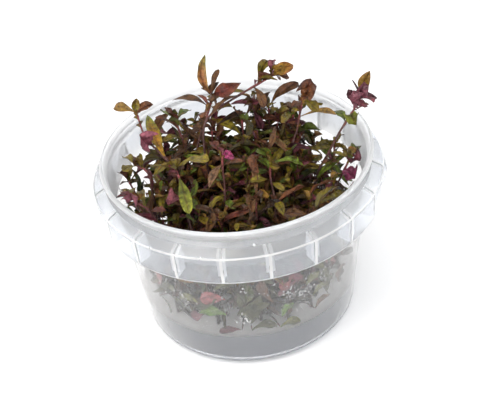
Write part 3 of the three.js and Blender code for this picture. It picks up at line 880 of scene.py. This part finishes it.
def press_leaf(growth, plan, depths, chance, shades=None):
    """Lays a leaf flat against the inside of the wall and gives its root."""
    bearing, z, tip_bearing, tip_z, width, colour = plan
    root = on_wall(bearing, z, depths[0])
    tip = on_wall(tip_bearing, tip_z, depths[1])
    look = leaf_look(chance, colour, LARGE, FLAT_LOOK)
    if shades:
        look["shade"] = chance.uniform(*shades)
    blade(growth, root, tip, width, look, upward=unit(root * (-1, -1, 0)))
    return root


def grow_pressed_leaves(plans, chance):
    """Leaves flat against the wall, each on a thin stem that stands in the gel."""
    growth = Growth()
    for plan in plans:
        root = press_leaf(growth, plan, PRESSED_DEPTHS, chance, PRESSED_SHADE)
        foot = at(plan[0] + stray(chance, 10), PRESSED_FOOT, STEM_FOOT + 2)
        bend = foot * 0.55 + root * 0.45 + np.array([0, 0, 3])
        stalk(growth, stem_line([foot, bend, root], 21), TANGLE_STEM, 6, 10)
    growth.settle("wall_leaves", "shoot")


def grow_gel_leaves(chance):
    """Lowest leaves, which the gel has set around."""
    growth = Growth()
    for plan in GEL_LEAVES:
        press_leaf(growth, plan, GEL_LEAF_DEPTHS, chance)
    growth.settle("leaves_in_gel", "shoot")


# The tub, the gel and the dew


def arc(r, z, radius, start, end, steps):
    """Points of an arc in a profile, in degrees from outward towards up."""
    angles = np.radians(np.linspace(start, end, steps + 1))
    return [(r + radius * math.cos(a), z + radius * math.sin(a)) for a in angles]


def lathe(name, profile, shape):
    """A solid turned about Z from a profile that starts and ends on the axis. Shape moves its points."""
    profile = np.array(profile, float)
    rings = profile[1:-1]
    bearings = np.radians(FIRST_RIB + 180 / TURNS) + np.linspace(0, 2 * math.pi, TURNS, endpoint=False)
    b, r = np.meshgrid(bearings, rings[:, 0], indexing="ij")
    z = np.broadcast_to(rings[:, 1], r.shape).copy()
    r, z = shape(b, r, z)
    points = np.stack([r * np.cos(b), r * np.sin(b), z], axis=-1).reshape(-1, 3)
    points = np.vstack([points, [0, 0, profile[0, 1]], [0, 0, profile[-1, 1]]])
    rows = len(rings)
    bottom, top = len(points) - 2, len(points) - 1
    faces = []
    for i in range(TURNS):
        here, following = i * rows, (i + 1) % TURNS * rows
        faces.append((bottom, following, here))
        for k in range(rows - 1):
            faces.append((here + k, following + k, following + k + 1, here + k + 1))
        faces.append((top, here + rows - 1, following + rows - 1))
    return new_mesh(name, points * MM, faces)


def tub_profile():
    """The moulded section: foot ring, wall, stop under the ledge, skirt, ledge, rim band and rolled lip."""
    corner_centre = wall_radius(CORNER) - CORNER
    inside_corner = CORNER - WALL
    inside_centre = inner_radius(FLOOR + inside_corner) - inside_corner
    foot_ring = corner_centre - 2.5
    under_ledge = LEDGE_EDGE + 0.6
    bend = 1.1
    edge = 0.35
    band_foot = wall_radius(LEDGE_TOP)
    return [
        (0, 0.5),
        (foot_ring - 1, 0.5),
        (foot_ring, 0),
        *arc(corner_centre, CORNER, CORNER, -90, -6, 10),
        *[(wall_radius(z), z) for z in np.linspace(8, 54, 8)],
        (wall_radius(LEDGE_EDGE) - 0.05, LEDGE_EDGE - 0.6),
        (wall_radius(LEDGE_EDGE) + 0.7, under_ledge),
        (COLLAR_RADIUS - bend - 0.7, LEDGE_EDGE - bend + 0.45),
        (COLLAR_RADIUS - bend, LEDGE_EDGE - bend - 0.4),
        (COLLAR_RADIUS - bend - 0.05, LEDGE_EDGE - 3.2),
        (COLLAR_RADIUS - bend - 0.3, SKIRT_BOTTOM + 3),
        *arc(SKIRT_RADIUS - edge - 0.1, SKIRT_BOTTOM + edge, edge, 180, 360, 6),
        (SKIRT_RADIUS + 0.2, SKIRT_BOTTOM + 3),
        (COLLAR_RADIUS - 0.12, LEDGE_EDGE - 3.2),
        *arc(COLLAR_RADIUS - 0.7, LEDGE_EDGE - 0.5, 0.7, 0, 58, 5),
        *[(band_foot + 0.5 + (COLLAR_RADIUS - 1.4 - band_foot) * s, LEDGE_TOP - 0.3 - 2.3 * s)
          for s in (1, 0.66, 0.33, 0.08)],
        (band_foot + 0.15, LEDGE_TOP + 0.25),
        (band_foot + 0.2, LEDGE_TOP + 1.1),
        *arc(band_foot + 0.25, LEDGE_TOP + 1.6, 0.28, -60, 60, 4),
        (band_foot + 0.35, LEDGE_TOP + 2.2),
        *arc(LIP_RADIUS - 0.75, TUB_HEIGHT - 0.95, 0.75, -60, 80, 9),
        *arc(LIP_INNER_RADIUS + 0.45, TUB_HEIGHT - 0.45, 0.45, 90, 185, 6),
        (inner_radius(LEDGE_TOP) + 0.25, LEDGE_TOP + 1.9),
        (inner_radius(LEDGE_TOP) + 0.1, LEDGE_TOP + 0.5),
        (inner_radius(LEDGE_TOP) - 0.15, LEDGE_TOP - 0.8),
        *[(inner_radius(z), z) for z in np.linspace(57, 8, 8)],
        *arc(inside_centre, FLOOR + inside_corner, inside_corner, -6, -90, 8),
        (0, FLOOR),
    ]


def flare_tab(b, r, z):
    """Bends the skirt out along the pull tab."""
    degrees = (np.degrees(b) + 180) % 360 - 180
    along = smooth(TAB_FROM - 1, TAB_FROM + 2, degrees) * (1 - smooth(TAB_TO - 2, TAB_TO + 1, degrees))
    down = 1 - smooth(LEDGE_EDGE - 2.4, LEDGE_EDGE - 0.1, z)
    skirt = smooth(COLLAR_RADIUS - 2.2, COLLAR_RADIUS - 1.6, r) * (z < LEDGE_EDGE + 0.5)
    up = smooth(SKIRT_BOTTOM, SKIRT_BOTTOM + 5, z)
    return r + TAB_REACH * along * down * skirt * up, z


def rib_bodies():
    """The ribs between wall and skirt, all in one mesh, each a thin fin that rises to the ledge."""
    points, faces = [], []
    bite = WALL / 2
    # height at the wall, height at the skirt and thickness, from the bottom up
    levels = [(SKIRT_BOTTOM + WALL, SKIRT_BOTTOM + WALL, RIB_FOOT),
              (LEDGE_EDGE - 4.5, LEDGE_EDGE - 4.5, RIB_FOOT * 1.6),
              (LEDGE_TOP - 1.3, LEDGE_EDGE - 1.4, RIB_FOOT)]
    for i in range(RIBS):
        turn = Matrix.Rotation(math.radians(FIRST_RIB + i * 360 / RIBS), 3, "Z")
        base = len(points)
        for at_wall, at_skirt, thickness in levels:
            for r, z in ((wall_radius(at_wall) - bite, at_wall), (skirt_radius(at_skirt) - bite, at_skirt)):
                for side in (-0.5, 0.5):
                    points.append(turn @ Vector((r, side * thickness, z)) * MM)
        for k in range(len(levels) - 1):
            a = base + 4 * k
            for p, q in ((0, 1), (1, 3), (3, 2), (2, 0)):
                faces.append((a + p, a + p + 4, a + q + 4, a + q))
        faces.append((base, base + 1, base + 3, base + 2))
        last = base + 4 * (len(levels) - 1)
        faces.append((last, last + 2, last + 3, last + 1))
    return new_mesh("ribs", points, faces)


def face_centres(mesh):
    """The middles of a mesh's faces, in millimetres, as x, y and z."""
    centres = np.zeros(len(mesh.polygons) * 3)
    mesh.polygons.foreach_get("center", centres)
    return (centres.reshape(-1, 3) / MM).T


def tub_finishes(mesh):
    """The number of the finish of each face of the tub."""
    x, y, z = face_centres(mesh)
    r = np.hypot(x, y)
    wall, skirt = wall_radius(z), skirt_radius(z)
    spacing = 360 / RIBS
    to_rib = np.abs((np.degrees(np.arctan2(y, x)) - FIRST_RIB + spacing / 2) % spacing - spacing / 2)
    on_rib = np.radians(to_rib) * r < RIB_TOP / 2
    under_ledge = LEDGE_TOP - (LEDGE_TOP - LEDGE_EDGE) * (r - wall) / (COLLAR_RADIUS - wall) - 1
    rib_side = on_rib & (r > wall + 0.15) & (r < skirt - WALL - 0.1) & (z < under_ledge)
    rib_front = (to_rib < 180 / TURNS) & (r > skirt - 0.3) & (z < LEDGE_EDGE - 1)
    lip = (z > TUB_HEIGHT - 0.45) & (r > LIP_RADIUS - 0.5)
    skirt_edge = (z < SKIRT_BOTTOM + 0.45) & (r > wall + 1)
    ledge_edge = (r > COLLAR_RADIUS - 0.35) & (z > LEDGE_EDGE - 0.5)
    rim_foot = LEDGE_TOP + 0.2
    outer = (z > LEDGE_EDGE - 1) | (r > wall + 1) | (z < CORNER - 1)
    finishes = np.where(outer, COLLAR_FINISH, WALL_FINISH)
    finishes[(z > LEDGE_EDGE - 0.6) & (r > wall + 0.3)] = LEDGE_FINISH
    finishes[z > rim_foot] = RIM_FINISH
    finishes[(z > SKIRT_BOTTOM) & (z <= rim_foot) & (r < wall - WALL / 2)] = INSIDE_FINISH
    finishes[((rib_side | rib_front) & (z > SKIRT_BOTTOM)) | lip | skirt_edge | ledge_edge] = EDGE_FINISH
    return finishes


def mould_tub():
    """The whole tub as one piece, with its ribs joined on."""
    plastics = [make_tub_plastic(name, *finish) for name, finish in TUB_FINISHES.items()]
    shell = finish_mesh("clear_tub", lathe("clear_tub", tub_profile(), flare_tab), plastics[0], TUB_CREASE)
    ribs = new_object("ribs", rib_bodies())
    join = shell.modifiers.new("join ribs", "BOOLEAN")
    join.operation = "UNION"
    join.solver = "MANIFOLD"
    join.object = ribs
    whole = shell.evaluated_get(bpy.context.evaluated_depsgraph_get())
    mesh = bpy.data.meshes.new_from_object(whole)
    shell.modifiers.remove(join)
    shell.data = mesh
    bpy.data.objects.remove(ribs)
    mesh.name = "clear_tub"
    mesh.materials.clear()
    for plastic in plastics:
        mesh.materials.append(plastic)
    mesh.polygons.foreach_set("material_index", tub_finishes(mesh))
    mesh.polygons.foreach_set("use_smooth", [True] * len(mesh.polygons))
    mesh.set_sharp_from_angle(angle=math.radians(TUB_CREASE))
    settle(shell, "clear_tub", "tub")


def pour_gel():
    """The layer of gel, with a meniscus at the wall and a gently uneven surface, whose top skin is painted
    plain white as painted light.
    """
    foot = FLOOR + GEL_GAP
    corner = CORNER - WALL - GEL_GAP
    rim_level = GEL_LEVEL + GEL_CLIMB

    def rim(z):
        return inner_radius(z) - GEL_GAP

    def ripple(b, r, z):
        surface = smooth(GEL_LEVEL - GEL_SKIN, GEL_LEVEL - 0.5, z)
        uneven = 0.22 * np.sin(3 * b + r * 0.4) + 0.16 * np.sin(5 * b - r * 0.3) + 0.12 * np.sin(r * 0.9)
        inside = 1 - smooth(rim(GEL_LEVEL) - 4, rim(GEL_LEVEL) - 1, r)
        return r, z + surface * inside * uneven

    across = np.linspace(rim(GEL_LEVEL) - 2.4, 3, 14)
    profile = [
        (0, foot),
        *arc(rim(foot + corner) - corner, foot + corner, corner, -90, -6, 8),
        (rim(9), 9),
        (rim(rim_level), rim_level),
        (rim(rim_level) - 0.35, rim_level - 0.25),
        (rim(GEL_LEVEL) - 1, GEL_LEVEL + 0.1),
        *[(r, GEL_LEVEL - 0.4 * (1 - r / rim(GEL_LEVEL))) for r in across],
        (0, GEL_LEVEL - 0.4),
    ]
    agar, agar_painted_light_top = (make_agar(name, *finish) for name, finish in GEL_FINISHES.items())
    layer = finish_mesh("gel_layer", lathe("gel_layer", profile, ripple), agar, GEL_CREASE)
    # The top skin gets a plain opaque white finish: painted light where light falls on the gel
    layer.data.materials.append(agar_painted_light_top)
    painted_light_faces = face_centres(layer.data)[2] > GEL_LEVEL - GEL_SKIN
    layer.data.polygons.foreach_set("material_index", painted_light_faces.astype(np.int32))
    settle(layer, "gel", "nutrient_gel")


def dome(around, levels):
    """A unit dome on its flat base: its points as sideways, up and inward shares, and its faces."""
    up = np.repeat(np.radians(np.linspace(0, BEAD_TOP, levels)), around)
    angle = np.tile(np.linspace(0, 2 * math.pi, around, endpoint=False), levels)
    sideways, upward = np.cos(angle) * np.cos(up), BEAD_STRETCH * np.sin(angle) * np.cos(up)
    shares = np.stack([sideways, upward, BEAD_DEPTH * np.sin(up)], axis=1)
    faces = [tuple(range(around))]
    for level in range(levels - 1):
        for k in range(around):
            p, q = level * around + k, level * around + (k + 1) % around
            faces.append((p, p + around, q + around, q))
    faces.append(tuple(reversed(range((levels - 1) * around, levels * around))))
    return shares, faces


def clear_of_leaves(plans):
    """A test whether a place on the wall, by its bearing and height, lies clear of the leaves on it."""
    scale = math.radians(1) * inner_radius(SKIRT_BOTTOM / 2)
    ends = np.array([plan[:4] for plan in plans], float)
    roots, tips = ends[:, :2] * (scale, 1), ends[:, 2:] * (scale, 1)
    reach = np.array([plan[4] for plan in plans]) / 2 + MIST_MARGIN
    along = tips - roots

    def is_clear(bearing, z):
        place = np.array([(bearing + 180) % 360 - 180, z]) * (scale, 1)
        share = np.clip(((place - roots) * along).sum(axis=1) / (along ** 2).sum(axis=1), 0, 1)
        return bool((np.linalg.norm(roots + along * share[:, None] - place, axis=1) > reach).all())

    return is_clear


def patch_places(patches, chance):
    """Places of beads as bearing and height, thickest in the middle of their patch."""
    places = []
    for bearing, height, spread, rise, beads in patches:
        for _ in range(beads):
            sideways = chance.gauss(0, PATCH_SPREAD)
            places.append((bearing + spread * sideways, height + rise * chance.gauss(0, PATCH_SPREAD)))
    return places


def wall_beads(places, sizes, chance):
    """Beads on the inside of the wall between gel and skirt, each as its place, size and directions."""
    beads = []
    for bearing, z in places:
        if BEAD_LEVELS[0] < z < BEAD_LEVELS[1]:
            inward = -at(bearing, 1, 0)
            directions = np.array([np.cross(inward, (0, 0, 1)), [0, 0, 1], inward])
            beads.append((on_wall(bearing, z, BEAD_GAP), chance.uniform(*sizes), directions))
    return beads


def ledge_beads():
    """Stray drops on top of the ledge, each as its place, size and directions."""
    beads = []
    for bearing, radius, z, size in LEDGE_DROPS:
        outward = at(bearing, 1, 0)
        along = np.cross((0, 0, 1), outward)
        up = unit(outward + (0, 0, LEDGE_RISE))
        beads.append((at(bearing, radius, z), size, np.array([along, np.cross(along, up), up])))
    return beads


def set_beads(name, beads, shape, material):
    """Beads of water, each a flattened dome, as one piece."""
    shares, one_bead = shape
    points, faces = [], []
    for centre, size, directions in beads:
        faces.extend([[len(points) * len(shares) + k for k in face] for face in one_bead])
        points.append(centre + size * shares @ directions)
    mesh = new_mesh(name, np.vstack(points) * MM, faces)
    settle(finish_mesh(name, mesh, material, BEAD_CREASE), "clear_tub")


# Materials


def fill(tree, node, inputs):
    """Gives a node its inputs, as values or as sockets to link from."""
    for key, value in inputs.items():
        if isinstance(value, bpy.types.NodeSocket):
            tree.links.new(value, node.inputs[key])
        else:
            node.inputs[key].default_value = value
    return node


def add_node(tree, kind, inputs, **settings):
    node = tree.nodes.new(kind)
    for key, value in settings.items():
        setattr(node, key, value)
    return fill(tree, node, inputs)


def use_group(tree, group, inputs):
    """The outputs of an effect."""
    return add_node(tree, "ShaderNodeGroup", inputs, node_tree=group).outputs


def calculate(tree, operation, *values):
    """The result of one step of arithmetic."""
    return add_node(tree, "ShaderNodeMath", dict(enumerate(values)), operation=operation).outputs[0]


def remap(tree, value, low, high, new_low, new_high):
    """A value carried from one range into another, and held in it."""
    inputs = {"Value": value, "From Min": low, "From Max": high, "To Min": new_low, "To Max": new_high}
    return add_node(tree, "ShaderNodeMapRange", inputs).outputs[0]


def noise(tree, scale, detail, roughness):
    """Soft noise in the piece's own space."""
    place = add_node(tree, "ShaderNodeTexCoord", {}).outputs["Object"]
    inputs = {"Vector": place, "Scale": scale, "Detail": detail, "Roughness": roughness}
    return add_node(tree, "ShaderNodeTexNoise", inputs).outputs["Fac"]


def relief(tree, height, strength, distance, **settings):
    """The normal of a fine relief, from its height."""
    inputs = {"Height": height, "Strength": strength, "Distance": distance}
    return add_node(tree, "ShaderNodeBump", inputs, **settings).outputs[0]


def new_group(name, inputs, outputs):
    """An effect with named inputs and outputs: the group, its inputs and its output node."""
    tree = bpy.data.node_groups.new(name, "ShaderNodeTree")
    for label, (kind, value) in inputs.items():
        socket = tree.interface.new_socket(label, in_out="INPUT", socket_type="NodeSocket" + kind)
        socket.default_value = value
    for label, kind in outputs.items():
        tree.interface.new_socket(label, in_out="OUTPUT", socket_type="NodeSocket" + kind)
    start = tree.nodes.new("NodeGroupInput")
    end = tree.nodes.new("NodeGroupOutput")
    return tree, start.outputs, end


def mottling_group():
    """Blotches of a darker and a lighter shade of the colour, at one scale."""
    tree, given, end = new_group(
        "mottling",
        {"Colour": ("Color", (1, 1, 1, 1)), "Scale": ("Float", 700), "Darkest": ("Float", 0.6),
         "Brightest": ("Float", 1.2)},
        {"Colour": "Color", "Mask": "Float"},
    )
    blotches = noise(tree, given["Scale"], 4, 0.6)
    level = remap(tree, blotches, 0.32, 0.68, given["Darkest"], given["Brightest"])
    scaled = add_node(tree, "ShaderNodeVectorMath", {0: given["Colour"], "Scale": level}, operation="SCALE")
    fill(tree, end, {"Colour": scaled.outputs[0], "Mask": blotches})
    return tree


def veins_group():
    """Midrib and side veins of a leaf from its own length and width: a height."""
    tree, given, end = new_group(
        "veins", {"Place": ("Vector", (0, 0, 0)), "Side Veins": ("Float", 7)}, {"Height": "Float"})
    parts = add_node(tree, "ShaderNodeSeparateXYZ", {"Vector": given["Place"]}).outputs
    away = calculate(tree, "ABSOLUTE", calculate(tree, "SUBTRACT", parts["Y"], 0.5))
    midrib = remap(tree, away, 0.02, 0.09, 1, 0)
    slant = calculate(tree, "MULTIPLY_ADD", away, -0.55, parts["X"])
    turns = calculate(tree, "MULTIPLY", slant, given["Side Veins"])
    wave = calculate(tree, "SINE", calculate(tree, "MULTIPLY", turns, 2 * math.pi))
    side_veins = remap(tree, wave, 0.8, 1, 0, 0.45)
    fill(tree, end, {"Height": calculate(tree, "MAXIMUM", midrib, side_veins)})
    return tree


def fog_group():
    """Patches of breath-like fog between two heights: a mask."""
    tree, given, end = new_group(
        "fog", {"Low": ("Float", 0.014), "High": ("Float", 0.05), "Scale": ("Float", 120)}, {"Mask": "Float"})
    place = add_node(tree, "ShaderNodeTexCoord", {}).outputs["Object"]
    height = add_node(tree, "ShaderNodeSeparateXYZ", {"Vector": place}).outputs["Z"]
    above = calculate(tree, "GREATER_THAN", height, given["Low"])
    below = calculate(tree, "LESS_THAN", height, given["High"])
    patches = remap(tree, noise(tree, given["Scale"], 5, 0.5), 0.42, 0.6, 0, 1)
    belt = calculate(tree, "MULTIPLY", above, below)
    fill(tree, end, {"Mask": calculate(tree, "MULTIPLY", belt, patches)})
    return tree


def new_material(name):
    """A material with one shader: the material, its node tree and its shader."""
    material = bpy.data.materials.new(name)
    material.use_nodes = True
    return material, material.node_tree, material.node_tree.nodes["Principled BSDF"]


def make_leaf_skin():
    """Waxy skin of leaves and stems: the growth's own tint, mottled, with veins."""
    material, tree, shader = new_material("leaf_skin")
    tint = add_node(tree, "ShaderNodeAttribute", {}, attribute_name="tint").outputs["Color"]
    place = add_node(tree, "ShaderNodeUVMap", {}, uv_map="place").outputs["UV"]
    veins = use_group(tree, veins_group(), {"Place": place})
    mottled = use_group(tree, mottling, {"Colour": tint, "Scale": 520, "Darkest": 0.35, "Brightest": 1.55})
    fine = use_group(tree, mottling, {"Colour": mottled["Colour"], "Scale": 2600, "Darkest": 0.85,
                                      "Brightest": 1.1})
    height = calculate(tree, "MULTIPLY_ADD", fine["Mask"], 0.8, veins["Height"])
    crumpled = calculate(tree, "MULTIPLY_ADD", mottled["Mask"], 5, height)
    fill(tree, shader, {
        "Base Color": fine["Colour"],
        "Roughness": remap(tree, mottled["Mask"], 0.3, 0.7, 0.3, 0.52),
        "Specular IOR Level": 0.35,
        "Coat Weight": 0.15,
        "Coat Roughness": 0.15,
        "Normal": relief(tree, crumpled, 0.9, 0.0004, invert=True),
    })
    return material


def make_tub_plastic(name, colour, clear, dry, fogged, grain):
    """Natural polypropylene with some haze: how clear it is, and its roughness where dry and where fogged."""
    material, tree, shader = new_material(name)
    mist = use_group(tree, fog, {})["Mask"]
    unevenness = use_group(tree, mottling, {"Scale": 90})["Mask"]
    fill(tree, shader, {
        "Base Color": (*colour, 1),
        "IOR": 1.4,
        "Transmission Weight": clear,
        "Roughness": remap(tree, mist, 0, 1, dry, fogged),
        "Normal": relief(tree, unevenness, grain, 0.0005),
    })
    return material


def make_agar(name, colour, clear, rough):
    """Set nutrient gel, cloudy."""
    material, tree, shader = new_material(name)
    cloud = use_group(tree, mottling, {"Colour": (*colour, 1), "Scale": 60, "Darkest": 0.9,
                                       "Brightest": 1.05})
    fill(tree, shader, {
        "Base Color": cloud["Colour"],
        "IOR": 1.34,
        "Transmission Weight": clear,
        "Roughness": rough,
        "Normal": relief(tree, cloud["Mask"], 0.3, 0.0006),
    })
    return material


def make_dew(name, clear):
    """Water in drops: small ones look whiter, so they are less clear."""
    material, tree, shader = new_material(name)
    grain = use_group(tree, mottling, {"Scale": 1500})["Mask"]
    fill(tree, shader, {
        "Base Color": (1, 1, 1, 1),
        "IOR": 1.33,
        "Transmission Weight": clear,
        "Roughness": 0.05,
        "Normal": relief(tree, grain, 0.1, 0.0001),
    })
    return material


def make_floor_paint():
    material, tree, shader = new_material("floor_paint")
    shade = use_group(tree, mottling, {"Colour": (0.96, 0.96, 0.965, 1), "Scale": 8, "Darkest": 0.985,
                                       "Brightest": 1})
    fill(tree, shader, {"Base Color": shade["Colour"], "Roughness": 0.7, "Specular IOR Level": 0.2})
    return material


# Floor, lights and camera


def lay_floor():
    corners = [(x * FLOOR_HALF, y * FLOOR_HALF, 0) for x, y in ((-1, -1), (1, -1), (1, 1), (-1, 1))]
    mesh = new_mesh("floor", corners, [(0, 1, 2, 3)])
    floor = finish_mesh("floor", mesh, make_floor_paint(), FLOOR_CREASE)
    floor.location.z = -FLOOR_DROP * MM


def stand(name, data, place, forward, roll=0):
    """A light or camera at a place, looking along a direction."""
    made = new_object(name, data)
    made.location = place
    made.rotation_mode = "QUATERNION"
    made.rotation_quaternion = forward.to_track_quat("-Z", "Y") @ Quaternion((0, 0, 1), roll)
    return made


def light_studio():
    world = bpy.data.worlds.new("studio")
    world.use_nodes = True
    background = world.node_tree.nodes["Background"]
    background.inputs["Color"].default_value = (1, 1, 1, 1)
    background.inputs["Strength"].default_value = SKY_STRENGTH
    bpy.context.scene.world = world
    bpy.context.scene.view_settings.view_transform = "Standard"
    for name, (place, size, watts, colour) in LIGHTS.items():
        light = bpy.data.lights.new(name, "AREA")
        light.size = size
        light.energy = watts
        light.color = colour
        stand(name, light, place, AIM - Vector(place))


def place_camera():
    lens = bpy.data.cameras.new("photo_camera")
    lens.sensor_width = SENSOR_WIDTH
    lens.lens = FOCAL_PIXELS / PHOTO_WIDTH * SENSOR_WIDTH
    lens.shift_x, lens.shift_y = SHIFT
    lens.clip_start, lens.clip_end = CLIP
    back = Vector((0, -math.cos(CAMERA_ELEVATION), math.sin(CAMERA_ELEVATION)))
    place = AIM + back * CAMERA_DISTANCE
    bpy.context.scene.camera = stand("photo_camera", lens, place, -back, CAMERA_ROLL)


place_camera()
light_studio()

mottling = mottling_group()
fog = fog_group()
leaf_skin = make_leaf_skin()
dew_drops = make_dew("dew_drops", 0.65)
mist_drops = make_dew("mist_drops", 0.4)
lay_floor()

mould_tub()
pour_gel()
drops = random.Random(WATER_SEED)
on_the_wall = pressed_plans(drops)
is_clear = clear_of_leaves(on_the_wall)
dew = patch_places(DEW_PATCHES, drops)
set_beads("dew", wall_beads(dew, DEW_BEAD, drops), dome(8, 3), dew_drops)
mist = [place for place in patch_places(MIST_PATCHES, drops) if is_clear(*place)]
set_beads("mist", wall_beads(mist, MIST_BEAD, drops), dome(5, 2), mist_drops)
set_beads("ledge_drops", ledge_beads(), dome(8, 3), dew_drops)

chance = random.Random(GROWTH_SEED)
for name, shoot in TALL_SHOOTS.items():
    grow_tall_shoot(name, *shoot, chance)
for name, shoot in LOW_SHOOTS.items():
    grow_low_shoot(name, *shoot, chance, True)
for i, place in enumerate(UNDERGROWTH, 1):
    grow_low_shoot(f"undergrowth_{i:02d}", *undergrowth_plan(*place), chance, False)
grow_tangle(chance)
grow_pressed_leaves(on_the_wall, chance)
grow_gel_leaves(chance)
